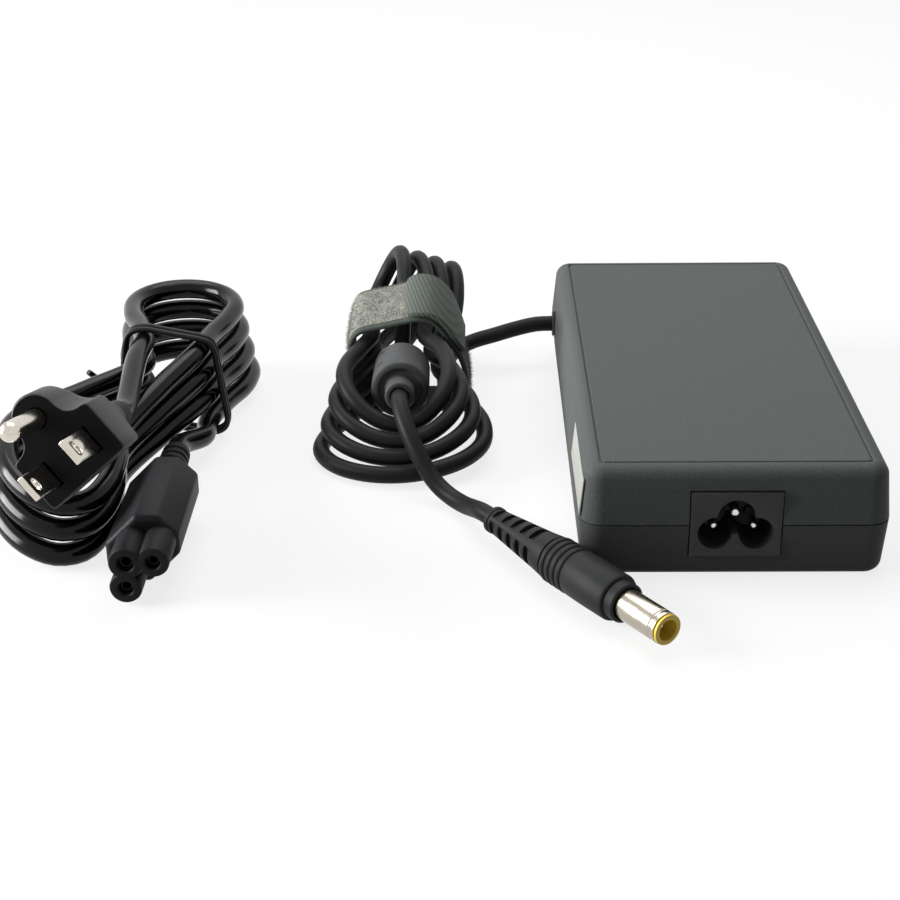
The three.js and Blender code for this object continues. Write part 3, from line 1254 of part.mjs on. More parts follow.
const mainsReliefStart = new THREE.Vector3(0, gripCentre, gripEnd).applyMatrix4(plugFrame);
const inward = plugOut.clone().negate();
addMesh('mains_plug_strain_relief', turned(
  ribbedRelief(GAP, MAINS_RELIEF_LENGTH, MAINS_RELIEF_DIAMETER, MAINS_RELIEF_END_DIAMETER),
  mainsReliefStart,
  inward,
  16,
), mainsPlastic);

// ---- mains lead: folded hank ----

const mainsHank = {
  turns: 3.5,
  hand: -1,
  turn: Math.PI,
  at: new THREE.Vector3(-146, 5.85, 0),
  soften: 0.22,
  nearReach: 56,
  nearStep: 1.4,
  farReach: 78.4,
  farStep: 0.4,
  nearBlend: 0.56,
  farBlend: 0.51,
  waist: 9.7,
  nearBulge: 37.1,
  nearFlat: 0.27,
  farBulge: 21.9,
  farFlat: 0,
  lean: [-0.3, -0.5, 11.3],
  shrink: [1.6, 0.7, 0.3],
  pitch: [7.2, 7, 6.95],
  nearTipPitch: 0,
  x: [6.25, 4.95, 30.75],
  z: [4.4, 5.8, 3.1],
  nearTipX: 0,
  farTipX: -6,
  farTipDrop: 4.6,
};
const mainsReliefEnd = mainsReliefStart.clone().addScaledVector(inward, 2 * GAP + MAINS_RELIEF_LENGTH);

function mainsHankLine(steps) {
  const loops = hankLine(mainsHank, 0, mainsHank.turns, steps);
  const first = loops[0];
  const last = loops[loops.length - 1];
  const straightIn = first.clone().add(new THREE.Vector3(0, -MAINS_DIAMETER, 0));
  const straightOut = last.clone().add(new THREE.Vector3(0, -MAINS_DIAMETER, 0));
  return [straightIn, ...loops, straightOut];
}
const mainsLine = mainsHankLine(LOOP_STEPS);
measureTube('mains_lead_hank', mainsHankLine(4 * LOOP_STEPS), MAINS_DIAMETER);
addMesh('mains_lead_hank', sweep(mainsLine, MAINS_DIAMETER / 2, LOOP_SIDES), mainsJacket);

const connectorExit = CONNECTOR_RELIEF_LENGTH + 2 * GAP + connectorBack;
const mainsIn = mainsLine[0];
addMesh('mains_lead_near', cord([
  [CONNECTOR_X, connectorExit, CONNECTOR_Z],
  [CONNECTOR_X, connectorExit + MAINS_DIAMETER, CONNECTOR_Z - 0.3],
  [mainsIn.x, mainsIn.y - GAP - MAINS_DIAMETER, mainsIn.z + 0.3],
  [mainsIn.x, mainsIn.y - GAP, mainsIn.z],
], MAINS_DIAMETER, 8, 1.2), mainsJacket);
const mainsOut = mainsLine[mainsLine.length - 1];
const nearPlug = mainsReliefEnd.clone().addScaledVector(inward, MAINS_DIAMETER);
addMesh('mains_lead_far', cord([
  [mainsOut.x, mainsOut.y - GAP, mainsOut.z],
  [mainsOut.x, mainsOut.y - GAP - MAINS_DIAMETER, mainsOut.z],
  nearPlug.toArray(),
  mainsReliefEnd.toArray(),
], MAINS_DIAMETER, 8, 1.2), mainsJacket);

// ---- twist tie ----

// Convex outline in x and z round circles of one radius, clockwise from its leftmost point
function wrapOutline(centres, radius) {
  const points = centres.flatMap(([x, z]) => Array.from({ length: 24 }, (_, i) => {
    const angle = (2 * Math.PI * i) / 24;
    return new THREE.Vector2(x + radius * Math.cos(angle), z + radius * Math.sin(angle));
  })).sort((a, b) => a.x - b.x || a.y - b.y);
  const halfHull = (list) => list.reduce((hull, point) => {
    while (hull.length > 1) {
      const last = hull[hull.length - 1];
      const before = hull[hull.length - 2];
      if (last.clone().sub(before).cross(point.clone().sub(before)) < -1e-9) break;
      hull.pop();
    }
    return [...hull, point];
  }, []);
  return [...halfHull(points), ...halfHull(points.reverse()).slice(1)];
}

// Where a line crosses a plane of one y, as x and z
function crossings(line, y) {
  return line.slice(1).flatMap((point, i) => {
    const before = line[i];
    if ((before.y - y) * (point.y - y) > 0) return [];
    const at = before.clone().lerp(point, (y - before.y) / (point.y - before.y));
    return [[at.x, at.z]];
  });
}

const tieStart = mainsHank.at.y - TIE_PITCH / 2;
const tieEnd = tieStart + TIE_PITCH * TIE_TURNS;
const tieRadius = (MAINS_DIAMETER + TIE_DIAMETER) / 2 + TIE_SLACK;
const tied = [tieStart - 1, (tieStart + tieEnd) / 2, tieEnd + 1].flatMap((y) => crossings(mainsLine, y));
const oneWrap = new THREE.Path(wrapOutline(tied, tieRadius)).getSpacedPoints(TIE_STEPS);
const wrapSteps = Math.round(TIE_TURNS * TIE_STEPS);
const wraps = Array.from({ length: wrapSteps + 1 }, (_, i) => {
  const at = oneWrap[i % TIE_STEPS];
  return [at.x, tieStart + (TIE_PITCH * i) / TIE_STEPS, at.y];
});
const wrapIn = wraps[0];
const wrapOut = wraps[wrapSteps];
addMesh('twist_tie', cord([
  [wrapIn[0] - 13, wrapIn[1] - 9, wrapIn[2] + 8],
  [wrapIn[0] - 8, wrapIn[1] - 6.5, wrapIn[2] + 1.5],
  [wrapIn[0] - 2.5, wrapIn[1] - 2.5, wrapIn[2] - 4],
  ...wraps,
  [wrapOut[0] - 2, wrapOut[1] - 0.5, wrapOut[2] + 4],
  [wrapOut[0] - 6, wrapOut[1] - 2, wrapOut[2] + 8],
  [wrapOut[0] - 9, wrapOut[1] - 4.5, wrapOut[2] + 12],
], TIE_DIAMETER, 6, 1.7), tieBlack);

export default model;
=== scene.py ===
"""Laptop power adapter: brick with its folded low-voltage lead, and a folded mains lead beside it.

Sizes are in millimetres until a mesh is made. The frame's CAD nodes give the places.
"""
import math

import bmesh
import bpy
import numpy as np
from bpy.props import FloatProperty, FloatVectorProperty, IntProperty, PointerProperty
from mathutils import Matrix, Vector


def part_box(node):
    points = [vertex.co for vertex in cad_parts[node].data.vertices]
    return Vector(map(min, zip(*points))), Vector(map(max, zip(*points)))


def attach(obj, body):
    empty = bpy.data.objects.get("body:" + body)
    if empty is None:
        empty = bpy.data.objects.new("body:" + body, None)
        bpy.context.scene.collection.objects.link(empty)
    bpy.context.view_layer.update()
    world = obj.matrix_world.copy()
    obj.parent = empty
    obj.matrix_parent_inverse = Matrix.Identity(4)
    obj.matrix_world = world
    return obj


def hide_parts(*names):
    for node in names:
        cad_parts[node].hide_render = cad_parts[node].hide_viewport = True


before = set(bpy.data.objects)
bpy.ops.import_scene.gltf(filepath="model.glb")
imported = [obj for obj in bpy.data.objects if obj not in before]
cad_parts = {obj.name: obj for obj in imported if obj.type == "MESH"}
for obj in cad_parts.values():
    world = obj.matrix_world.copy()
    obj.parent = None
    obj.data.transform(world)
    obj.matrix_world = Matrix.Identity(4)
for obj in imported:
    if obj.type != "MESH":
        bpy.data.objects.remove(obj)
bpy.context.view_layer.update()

bl_info = {
    "name": "Laptop Power Adapter",
    "version": (1, 0, 0),
    "blender": (4, 5, 0),
    "location": "View3D > Sidebar > Adapter",
    "description": "Builds a laptop power adapter with both of its leads",
    "category": "Add Mesh",
}

MM = 0.001
# Clearance between pieces that fit together
GAP = 0.3
ADAPTER = "adapter"
STRAP_TAB = "strap_tab"
MAINS_LEAD = "mains_lead"
BACK = np.array([0.0, 1.0, 0.0])
UP = np.array([0.0, 0.0, 1.0])
LEFT = np.array([-1.0, 0.0, 0.0])


def unit(vector):
    """The vector at length 1."""
    vector = np.array(vector, float)
    return vector / np.linalg.norm(vector)


def node_box(node):
    """Lowest and highest corners of a CAD node, in millimetres."""
    low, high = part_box(node)
    return np.array(low) / MM, np.array(high) / MM


BASE_LOW, BASE_HIGH = node_box("bottom_cover")
TOP_HIGH = node_box("top_cover")[1]

# ---- brick ----
CASE_WIDTH = BASE_HIGH[0] - BASE_LOW[0]
CASE_LENGTH = BASE_HIGH[1] - BASE_LOW[1]
CASE_HEIGHT = TOP_HIGH[2]
CASE_CORNER_RADIUS = 6
CASE_TOP_FILLET = 3.5
CASE_BASE_FILLET = 3
CASE_WALL = 2.2
CASE_PARTING_HEIGHT = 14.6
TOP_DRAFT = 1.07
BASE_DRAFT = 0.9
TONGUE_HEIGHT = 1.8
TONGUE_THICKNESS = 1
TOP_GROOVE_MARGIN = 5.3
TOP_GROOVE_WIDTH = 0.6
TOP_GROOVE_DEPTH = 0.4
INNER_FILLET = 1.3
POST_DIAMETER = 6
POST_TOP = 4.2
POST_X = 26
POST_Y = 63

# ---- mains inlet ----
INLET_WIDTH = 22.4
INLET_HEIGHT = 17.2
INLET_CENTRE_HEIGHT = 14.85
INLET_PLATE_THICKNESS = 2.4
INLET_BODY_STEP = 1
INLET_FLANGE = 1
INLET_FLANGE_THICKNESS = 1.3
INLET_BODY_DEPTH = 19
INLET_RECESS_DEPTH = 13
INLET_LIVE_SPACING = 10
INLET_LIVE_DROP = 2.35
INLET_EARTH_RISE = 2.05
INLET_LIVE_LOBE = 4.3
INLET_EARTH_LOBE = 4.6
INLET_LIVE_PIN = 2
INLET_EARTH_PIN = 2.5
INLET_LIVE_SETBACK = 3.6
INLET_EARTH_SETBACK = 2.1
INLET_PIN_TAIL = 3
INLET_PIN_DOME = 0.8

# ---- side label ----
LABEL_LENGTH = 35.5
LABEL_HEIGHT = 9.4
LABEL_THICKNESS = 0.4
LABEL_FROM_FRONT = 21.3
LABEL_CENTRE_HEIGHT = 20.6

# ---- low-voltage lead ----
LEAD_DIAMETER = 4.8
LEAD_EXIT = np.array([-CASE_WIDTH / 2, 60, CASE_PARTING_HEIGHT])
GROMMET_COLLAR = 8.4
GROMMET_COLLAR_LENGTH = 0.6
GROMMET_NECK = 7.4
GROMMET_FLANGE = 10.6
GROMMET_FLANGE_THICKNESS = 1.5
LEAD_HANK = {
    "turns": 4, "hand": 1, "turn": 0, "at": (0, 30, 0), "soften": 0.12,
    "near_reach": 57.5, "near_step": 4.8, "far_reach": 48.8, "far_step": 2,
    "near_blend": 0.8, "far_blend": 0.99, "waist": 10,
    "near_bulge": 44.6, "near_flat": 0.23, "far_bulge": 18.7,
    "lean": (5.4, 13.4, 60), "shrink": (4, 0.75, 1.85), "pitch": (6, 5.75, 5.8),
    "near_tip_pitch": -3.2, "x": (-85, -82.5, -72.5), "z": (2.6, 4.5, 18),
    "near_tip_x": 1.5, "far_tip_x": 0, "far_tip_drop": 0,
}
LEAD_LAST_TURN = 3.84
LEAD_FROM_BRICK = [
    (-51, 60.2, 12.7), (-57.4, 60.2, 10.7), (-63.5, 58.8, 9.4), (-68.6, 55, 8.4), (-71.6, 49, 7.6),
]
LEAD_TO_BEAD = [
    (-85.6, 57, 36.4), (-85.2, 50, 32.6), (-85.3, 43, 27), (-85.6, 36.5, 21.2),
    (-85.6, 31, 17.4), (-85.5, 26.5, 15.7),
]
LEAD_TO_PLUG = [
    (-84.6, -16.6, 20.5), (-83.6, -21.5, 18.6), (-81.8, -26, 15.4), (-79.6, -29.6, 11.8),
    (-77, -32.8, 8), (-73.8, -36, 4.7), (-70.3, -39.6, 3.1), (-66.7, -44.6, 3.2), (-64, -50, 4.8),
]

# ---- ferrite bead ----
BEAD_REAR = np.array([-85.3, 19.5, 16])
BEAD_DIRECTION = unit((0.013, -0.993, 0.115))
BEAD_DIAMETER = 16.6
BEAD_LENGTH = 22.6
BEAD_RIM = 1.2
BEAD_BOSS = 8.4
BEAD_BOSS_LENGTH = 6.5
BEAD_SKIN = 1.5
BEAD_END_SKIN = 2
BEAD_SLOT_TURN = 44
BEAD_SLOTS = (4.5, 15.5)

# ---- hook-and-loop strap ----
STRAP_WIDTH = 17.5
STRAP_CENTRE_Y = 31.6
STRAP_THICKNESS = 1.4
STRAP_TAB_THICKNESS = 1.6
STRAP_INNER = [
    (-95.6, 1.75), (-99.1, 3.1), (-99.9, 8), (-99.9, 16), (-99.8, 22.5), (-98, 25.9), (-92, 27.6),
    (-86, 28.9), (-80.5, 30), (-77, 29.5), (-74.2, 27), (-71.6, 22.9), (-69, 18.2), (-67.3, 13),
    (-67, 7.5), (-68.1, 3.9), (-71.5, 2.2), (-80, 1.8), (-88, 1.8),
]
STRAP_TAB_FREE_X = -84
STRAP_TAB_SEWN_Z = 18.5
# Above a level the strap leans: its back edge rises, by a share of the distance from a pivot
STRAP_LEAN = 0.36
STRAP_LEAN_FROM_Z = 18
STRAP_LEAN_FULL_Z = 27
STRAP_LEAN_PIVOT = -6
# Thickness of the pile's ground, its margin at the strap's edges, and the level its fibres start at
PILE_GROUND = 0.15
PILE_MARGIN = 1.3
PILE_FROM_Z = 4.5
FIBRE_THICKNESS = 0.05
FIBRE_TIP = 0.02
FIBRE_TILT = 1.2
FIBRE_SEED = 4
FIBRE_SHORTEST = 0.35

# ---- barrel plug, lengths along its axis ----
PLUG_START = np.array([-59.2, -58.9, 6.4])
PLUG_DIRECTION = unit((0.576, -0.818, 0))
PLUG_RELIEF_LENGTH = 26.3
PLUG_RELIEF = 6.6
PLUG_RELIEF_BEND = 21.7
PLUG_RELIEF_BEND_DIAMETER = 10.4
PLUG_RELIEF_END = 11.6
PLUG_RING_COUNT = 4
PLUG_RING_PITCH = 2.1
PLUG_RING = 12.2
PLUG_RING_ROOT = 11.2
PLUG_BODY = 12
PLUG_BODY_LENGTH = 15.7
PLUG_COLLAR = 10
PLUG_COLLAR_LENGTH = 3
PLUG_BARREL = 7.9
PLUG_BARREL_WALL = 0.45
PLUG_BARREL_LENGTH = 13.5
PLUG_SEAT_DEPTH = 5
PLUG_TIP_RING = 7.6
PLUG_TIP_RING_LENGTH = 0.7
PLUG_BORE = 5.2
PLUG_PIN = 1
PLUG_PIN_SETBACK = 2
# Slots of its relief: their turns round it, their places along it, their size and how deep they sit
PLUG_SLOT_TURNS = (-8, 82, 172, 262)
PLUG_SLOT_COUNT = 5
PLUG_SLOT_FIRST = 3.9
PLUG_SLOT_PITCH = 4.1
PLUG_SLOT_SIZE = (2.6, 4.1, 2.2)
PLUG_SLOT_SHARE = 0.84
PLUG_SLOT_SEAT = 0.9

# ---- mains lead ----
MAINS_DIAMETER = 6
MAINS_HANK = {
    "turns": 3.5, "hand": -1, "turn": math.pi, "at": (-146, 5.85, 0), "soften": 0.22,
    "near_reach": 56, "near_step": 1.4, "far_reach": 78.4, "far_step": 0.4,
    "near_blend": 0.56, "far_blend": 0.51, "waist": 9.7,
    "near_bulge": 37.1, "near_flat": 0.27, "far_bulge": 21.9,
    "lean": (-0.3, -0.5, 11.3), "shrink": (1.6, 0.7, 0.3), "pitch": (7.2, 7, 6.95),
    "near_tip_pitch": 0, "x": (6.25, 4.95, 30.75), "z": (4.4, 5.8, 3.1),
    "near_tip_x": 0, "far_tip_x": -6, "far_tip_drop": 4.6,
}
HANK_STEPS = 24

# ---- appliance connector, rolled onto one chamfer ----
CONNECTOR_X = -146
CONNECTOR_Z = 9.3
CONNECTOR_ROLL = math.pi / 4
CONNECTOR_FACE_Y = -92
CONNECTOR_NOSE = 12
CONNECTOR_LENGTH = 35
CONNECTOR_HALF_WIDTH = 9.5
CONNECTOR_HALF_HEIGHT = 7.5
CONNECTOR_CHAMFER = 4
CONNECTOR_HOLES = [(-5, -1.5, 4, 1.8), (5, -1.5, 4, 1.8), (0, 2.9, 4.2, 2)]
CONNECTOR_HOLE_DEPTH = 12.5
CONNECTOR_RELIEF_LENGTH = 19.7
CONNECTOR_RELIEF = 9
CONNECTOR_RELIEF_END = 7.6
RELIEF_GROOVES = 5
RELIEF_GROOVE_DEPTH = 0.7

# ---- mains plug ----
MAINS_PLUG_FACE = np.array([-157.3, -95.6, 41.6])
MAINS_PLUG_OUT = unit((-0.052, -0.964, 0.262))
MAINS_PLUG_ACROSS = np.array([0.757, 0.133, 0.639])
MAINS_PLUG_DEPTH = 14
MAINS_PLUG_GRIP = 26
MAINS_PLUG_HALF_WIDTH = 11.7
MAINS_PLUG_BOTTOM = -6.6
MAINS_PLUG_SHOULDER = 7.3
MAINS_PLUG_NECK = 5.4
MAINS_PLUG_NECK_HEIGHT = 11.6
BLADE_SPACING = 12.7
BLADE_WIDTH = 6.35
BLADE_THICKNESS = 1.5
BLADE_LENGTH = 17
BLADE_HOLE = 3.2
BLADE_HOLE_FROM_TIP = 4
EARTH_PIN_RISE = 11.9
EARTH_PIN = 4.8
EARTH_PIN_LENGTH = 21
EARTH_PIN_DOME = 2.2
EARTH_LOBE = 5.6
PRONG_ROOT = 8
MAINS_RELIEF_LENGTH = 11
MAINS_RELIEF = 9
MAINS_RELIEF_END = 7.4
MAINS_PLUG_AXIS_RISE = 3

# ---- twist tie ----
TIE_DIAMETER = 1.7
TIE_TURNS = 2
TIE_PITCH = 2.6
TIE_STEPS = 36
TIE_SLACK = 0.3
TIE_SIDES = 12
# Steps from the wraps' first point to one tail, and from their last point to the other
TIE_BEGIN = ((-13, -9, 8), (-8, -6.5, 1.5), (-2.5, -2.5, -4))
TIE_END = ((-2, -0.5, 4), (-6, -2, 8), (-9, -4.5, 12))

# ---- lines: samples between given points, and the spacing of the points made ----
CURVE_SAMPLES = 12
WRAP_SIDES = 24
LEAD_STEP = 2.0
MAINS_STEP = 2.2
TIE_STEP = 0.9
STRAP_STEP = 1.0
GRIP_STEP = 1.3


def shade(code):
    """Linear colour of a hex colour as a screen shows it."""
    channels = [(code >> shift & 255) / 255 for shift in (16, 8, 0)]
    return tuple(c / 12.92 if c <= 0.04045 else ((c + 0.055) / 1.055) ** 2.4 for c in channels)


def colour_property(name, description, code):
    """A colour that a user may change."""
    return FloatVectorProperty(
        name=name, description=description, subtype="COLOR", size=3, min=0, max=1, default=shade(code))


def length_property(name, description, millimetres):
    """A length that a user may change."""
    return FloatProperty(
        name=name, description=description, unit="LENGTH", min=0, precision=5, default=millimetres * MM)


def power_property(name, description, watts):
    """The power of a lamp."""
    return FloatProperty(name=name, description=description, unit="POWER", default=watts)


# ---- lines ----

def travelled(line):
    """Distance along a line at each of its points."""
    return np.concatenate([[0], np.cumsum(np.linalg.norm(np.diff(line, axis=0), axis=1))])


def spaced(line, count):
    """The line as evenly spaced points, one more than the count."""
    along = travelled(line)
    wanted = np.linspace(0, along[-1], count + 1)
    return np.stack([np.interp(wanted, along, column) for column in line.T], axis=1)


def smooth_line(points, step, closed=False):
    """Evenly spaced points on a centripetal curve through the given ones."""
    points = np.array(points, float)
    if closed:
        chain = np.vstack([points[-1], points, points[:2]])
    else:
        chain = np.vstack([2 * points[0] - points[1], points, 2 * points[-1] - points[-2]])
    u = np.linspace(0, 1, CURVE_SAMPLES, endpoint=False)[:, None]
    pieces = []
    for a, b, c, d in zip(chain, chain[1:], chain[2:], chain[3:]):
        ab, bc, cd = (max(np.linalg.norm(q - p) ** 0.5, 1e-3) for p, q in ((a, b), (b, c), (c, d)))
        leave = ((b - a) / ab - (c - a) / (ab + bc) + (c - b) / bc) * bc
        arrive = ((c - b) / bc - (d - b) / (bc + cd) + (d - c) / cd) * bc
        pieces.append(
            (2 * u**3 - 3 * u**2 + 1) * b + (u**3 - 2 * u**2 + u) * leave
            + (3 * u**2 - 2 * u**3) * c + (u**3 - u**2) * arrive)
    line = np.vstack([*pieces, points[:1] if closed else points[-1:]])
    even = spaced(line, max(2, round(travelled(line)[-1] / step)))
    return even[:-1] if closed else even


def ease(x):
    """Smooth step from 0 to 1."""
    k = min(1, max(0, x))
    return k * k * (3 - 2 * k)


def hank_point(h, t):
    """One point of a hank, whose turns run round a waist, out to a near and a far lobe."""
    phase = 2 * math.pi * t
    s = math.sin(phase)
    near, far = max(0, s), max(0, -s)
    in_near, in_far = ease(near / h["near_blend"]), ease(far / h["far_blend"])

    def mix(name):
        at_near, at_waist, at_far = h[name]
        return at_waist + (at_near - at_waist) * in_near + (at_far - at_waist) * in_far

    lobe = "near" if s > 0 else "far"
    reach = h[lobe + "_reach"] - h[lobe + "_step"] * t
    bulge = h[lobe + "_bulge"] * (1 - h["near_flat"] * near * near)
    half = h["waist"] + bulge * (math.hypot(s, h["soften"]) - h["soften"]) - mix("shrink") * t
    across = h["hand"] * math.cos(phase) * half
    level = t * (mix("pitch") + h["near_tip_pitch"] * near**6)
    lean = math.radians(mix("lean"))
    x = mix("x") + h["near_tip_x"] * near**6 + h["far_tip_x"] * far**4
    z = mix("z") - h["far_tip_drop"] * far**4
    px = x + across * math.cos(lean) - level * math.sin(lean)
    py = -reach * s
    pz = z + across * math.sin(lean) + level * math.cos(lean)
    c, q = math.cos(h["turn"]), math.sin(h["turn"])
    return np.array([px * c - py * q, px * q + py * c, pz]) + np.array(h["at"])


def hank_line(h, last):
    """Points of a hank's turns, a fixed number to each turn."""
    count = round(last * HANK_STEPS)
    return [hank_point(h, last * i / count) for i in range(count + 1)]


def lead_route():
    """Route of the low-voltage lead from the grommet to the barrel plug."""
    exit_x = LEAD_EXIT[0] - GROMMET_COLLAR_LENGTH - GAP
    loops = hank_line(LEAD_HANK, LEAD_LAST_TURN)
    start = loops[0] + BACK * LEAD_DIAMETER
    bead_end = BEAD_LENGTH + BEAD_BOSS_LENGTH
    return np.array([
        (exit_x, LEAD_EXIT[1], LEAD_EXIT[2]), (exit_x - LEAD_DIAMETER, LEAD_EXIT[1], LEAD_EXIT[2] - 0.2),
        *LEAD_FROM_BRICK, start + BACK * (LEAD_DIAMETER + GAP), start, *loops,
        *LEAD_TO_BEAD,
        *(BEAD_REAR + BEAD_DIRECTION * s for s in (-GAP, bead_end / 2, bead_end, bead_end + 2.5)),
        *LEAD_TO_PLUG, *(PLUG_START + PLUG_DIRECTION * s for s in (-LEAD_DIAMETER, 0, 1.5)),
    ])


PLUG_SIDEWAYS = unit(MAINS_PLUG_ACROSS - MAINS_PLUG_OUT * MAINS_PLUG_ACROSS.dot(MAINS_PLUG_OUT))
PLUG_EARTHWARD = np.cross(MAINS_PLUG_OUT, PLUG_SIDEWAYS)
MAINS_GRIP_END = -MAINS_PLUG_DEPTH - MAINS_PLUG_GRIP
MAINS_GRIP_RADIUS = MAINS_RELIEF / 2 + 0.6


def on_mains_plug(p, q, s):
    """A point of the mains plug: p across its blades, q toward its earth pin, s out of its face."""
    return MAINS_PLUG_FACE + PLUG_SIDEWAYS * p + PLUG_EARTHWARD * q + MAINS_PLUG_OUT * s


MAINS_RELIEF_START = on_mains_plug(0, MAINS_PLUG_AXIS_RISE, MAINS_GRIP_END)
CONNECTOR_BACK = CONNECTOR_FACE_Y + CONNECTOR_NOSE + CONNECTOR_LENGTH


def mains_hank():
    """The mains lead's turns, with a straight step at both ends."""
    loops = hank_line(MAINS_HANK, MAINS_HANK["turns"])
    return [loops[0] - BACK * MAINS_DIAMETER, *loops, loops[-1] - BACK * MAINS_DIAMETER]


def mains_route():
    """Route of the mains lead from the appliance connector to the mains plug."""
    hank = mains_hank()
    leaves = CONNECTOR_BACK + CONNECTOR_RELIEF_LENGTH + 2 * GAP
    first, last = hank[0], hank[-1]
    relief_end = MAINS_RELIEF_START - MAINS_PLUG_OUT * (2 * GAP + MAINS_RELIEF_LENGTH)
    return np.array([
        (CONNECTOR_X, leaves - 1, CONNECTOR_Z), (CONNECTOR_X, leaves, CONNECTOR_Z),
        (CONNECTOR_X, leaves + MAINS_DIAMETER, CONNECTOR_Z - 0.3),
        first - BACK * (GAP + MAINS_DIAMETER) + UP * 0.3, *hank,
        last - BACK * (GAP + MAINS_DIAMETER),
        relief_end - MAINS_PLUG_OUT * MAINS_DIAMETER, relief_end, relief_end + MAINS_PLUG_OUT,
    ])


def wrap_outline(centres, radius):
    """Convex outline in x and z round circles of one radius, clockwise from its leftmost point."""
    angles = [2 * math.pi * i / WRAP_SIDES for i in range(WRAP_SIDES)]
    points = sorted((x + radius * math.cos(a), z + radius * math.sin(a)) for x, z in centres for a in angles)

    def half_hull(ordered):
        hull = []
        for x, z in ordered:
            while len(hull) > 1:
                (ax, az), (bx, bz) = hull[-2:]
                if (bx - ax) * (z - az) - (bz - az) * (x - ax) < -1e-9:
                    break
                hull.pop()
            hull.append((x, z))
        return hull

    return half_hull(points) + half_hull(points[::-1])[1:]


def tie_route():
    """Route of the twist tie round the waist of the mains lead, and of its two tails."""
    hank = mains_hank()
    start = MAINS_HANK["at"][1] - TIE_PITCH / 2
    end = start + TIE_PITCH * TIE_TURNS
    tied = []
    for y in (start - 1, (start + end) / 2, end + 1):
        for a, b in zip(hank, hank[1:]):
            if (a[1] - y) * (b[1] - y) <= 0:
                at = a + (b - a) * (y - a[1]) / (b[1] - a[1])
                tied.append((at[0], at[2]))
    reach = (MAINS_DIAMETER + TIE_DIAMETER) / 2 + TIE_SLACK
    wrap = spaced(np.array(wrap_outline(tied, reach)), TIE_STEPS)
    wraps = []
    for i in range(TIE_TURNS * TIE_STEPS + 1):
        x, z = wrap[i % TIE_STEPS]
        wraps.append(np.array([x, start + TIE_PITCH * i / TIE_STEPS, z]))
    begin = [wraps[0] + step for step in TIE_BEGIN]
    finish = [wraps[-1] + step for step in TIE_END]
    return np.array([*begin, *wraps, *finish])


# ---- meshes ----

def add_object(name, mesh):
    """An object for a mesh, at the origin."""
    piece = bpy.data.objects.new(name, mesh)
    bpy.context.scene.collection.objects.link(piece)
    return piece


def outward(mesh):
    """Merges doubled points and turns the faces outward."""
    work = bmesh.new()
    work.from_mesh(mesh)
    bmesh.ops.remove_doubles(work, verts=work.verts, dist=1e-7)
    bmesh.ops.recalc_face_normals(work, faces=work.faces)
    work.to_mesh(mesh)
    work.free()


def skin(name, rings, closed=False):
    """A closed piece through rings of equal counts in millimetres, its ends capped or joined."""
    count, total = len(rings[0]), len(rings)
    points = np.concatenate([np.array(ring, float) for ring in rings]) * MM
    faces = [
        tuple((i + di) % total * count + (j + dj) % count for di, dj in ((0, 0), (0, 1), (1, 1), (1, 0)))
        for i in range(total if closed else total - 1) for j in range(count)
    ]
    if not closed:
        faces += [tuple(range(count))[::-1], tuple(range((total - 1) * count, total * count))]
    mesh = bpy.data.meshes.new(name)
    mesh.from_pydata([tuple(p) for p in points], [], faces)
    outward(mesh)
    return add_object(name, mesh)


def turned(name, profile, origin, direction, segments=48, closed=False):
    """A turned piece. Its profile is radius and distance along the axis."""
    axis = unit(direction)
    side = unit(np.cross(axis, UP if abs(axis[2]) < 0.9 else BACK))
    other = np.cross(axis, side)
    turns = [2 * math.pi * k / segments for k in range(segments)]
    return skin(name, [
        [origin + axis * along + (side * math.cos(a) + other * math.sin(a)) * radius for a in turns]
        for radius, along in profile
    ], closed)


def rod(name, radius, start, end, origin, direction, segments=48):
    """A plain round bar."""
    return turned(name, [(0, start), (radius, start), (radius, end), (0, end)], origin, direction, segments)


def block(name, low, high):
    """A rectangular block between two corners."""
    (x0, y0, z0), (x1, y1, z1) = low, high
    return skin(name, [[(x0, y0, z), (x1, y0, z), (x1, y1, z), (x0, y1, z)] for z in (z0, z1)])


def way_round(axis, degrees):
    """Direction across an axis, at an angle from level toward upright."""
    side = unit(np.cross(axis, UP))
    angle = math.radians(degrees)
    return side * math.cos(angle) + unit(np.cross(side, axis)) * math.sin(angle)


def move(piece, origin, x_axis, z_axis, turn=0):
    """Moves a piece from its own axes, after a turn round its y axis, to the given place and axes."""
    axes = Matrix((x_axis, np.cross(z_axis, x_axis), z_axis)).transposed().to_4x4()
    piece.data.transform(Matrix.Translation(Vector(origin) * MM) @ axes @ Matrix.Rotation(turn, 4, "Y"))
    return piece


def settle(piece):
    """Turns the piece's modifiers into plain mesh."""
    graph = bpy.context.evaluated_depsgraph_get()
    mesh = bpy.data.meshes.new_from_object(piece.evaluated_get(graph), depsgraph=graph)
    mesh.name = piece.name
    old = piece.data
    piece.modifiers.clear()
    piece.data = mesh
    bpy.data.meshes.remove(old)
    return piece


def combine(piece, operation, *others):
    """Cuts the others out of a piece, or joins them to it."""
    for other in others:
        boolean = piece.modifiers.new("Combine", "BOOLEAN")
        boolean.operation, boolean.solver, boolean.object = operation, "EXACT", other
        settle(piece)
        bpy.data.objects.remove(other)
    outward(piece.data)
    return piece


def soften(piece, width, segments=3, angle=32):
    """Rounds the sharp edges of a piece and shades it smooth."""
    if width:
        bevel = piece.modifiers.new("Rounded edges", "BEVEL")
        bevel.width = width * MM
        bevel.segments = segments
        bevel.limit_method = "ANGLE"
        bevel.angle_limit = math.radians(angle)
        bevel.use_clamp_overlap = True
        settle(piece)
    piece.data.shade_smooth()
    piece.data.set_sharp_from_angle(angle=math.radians(angle))
    return piece


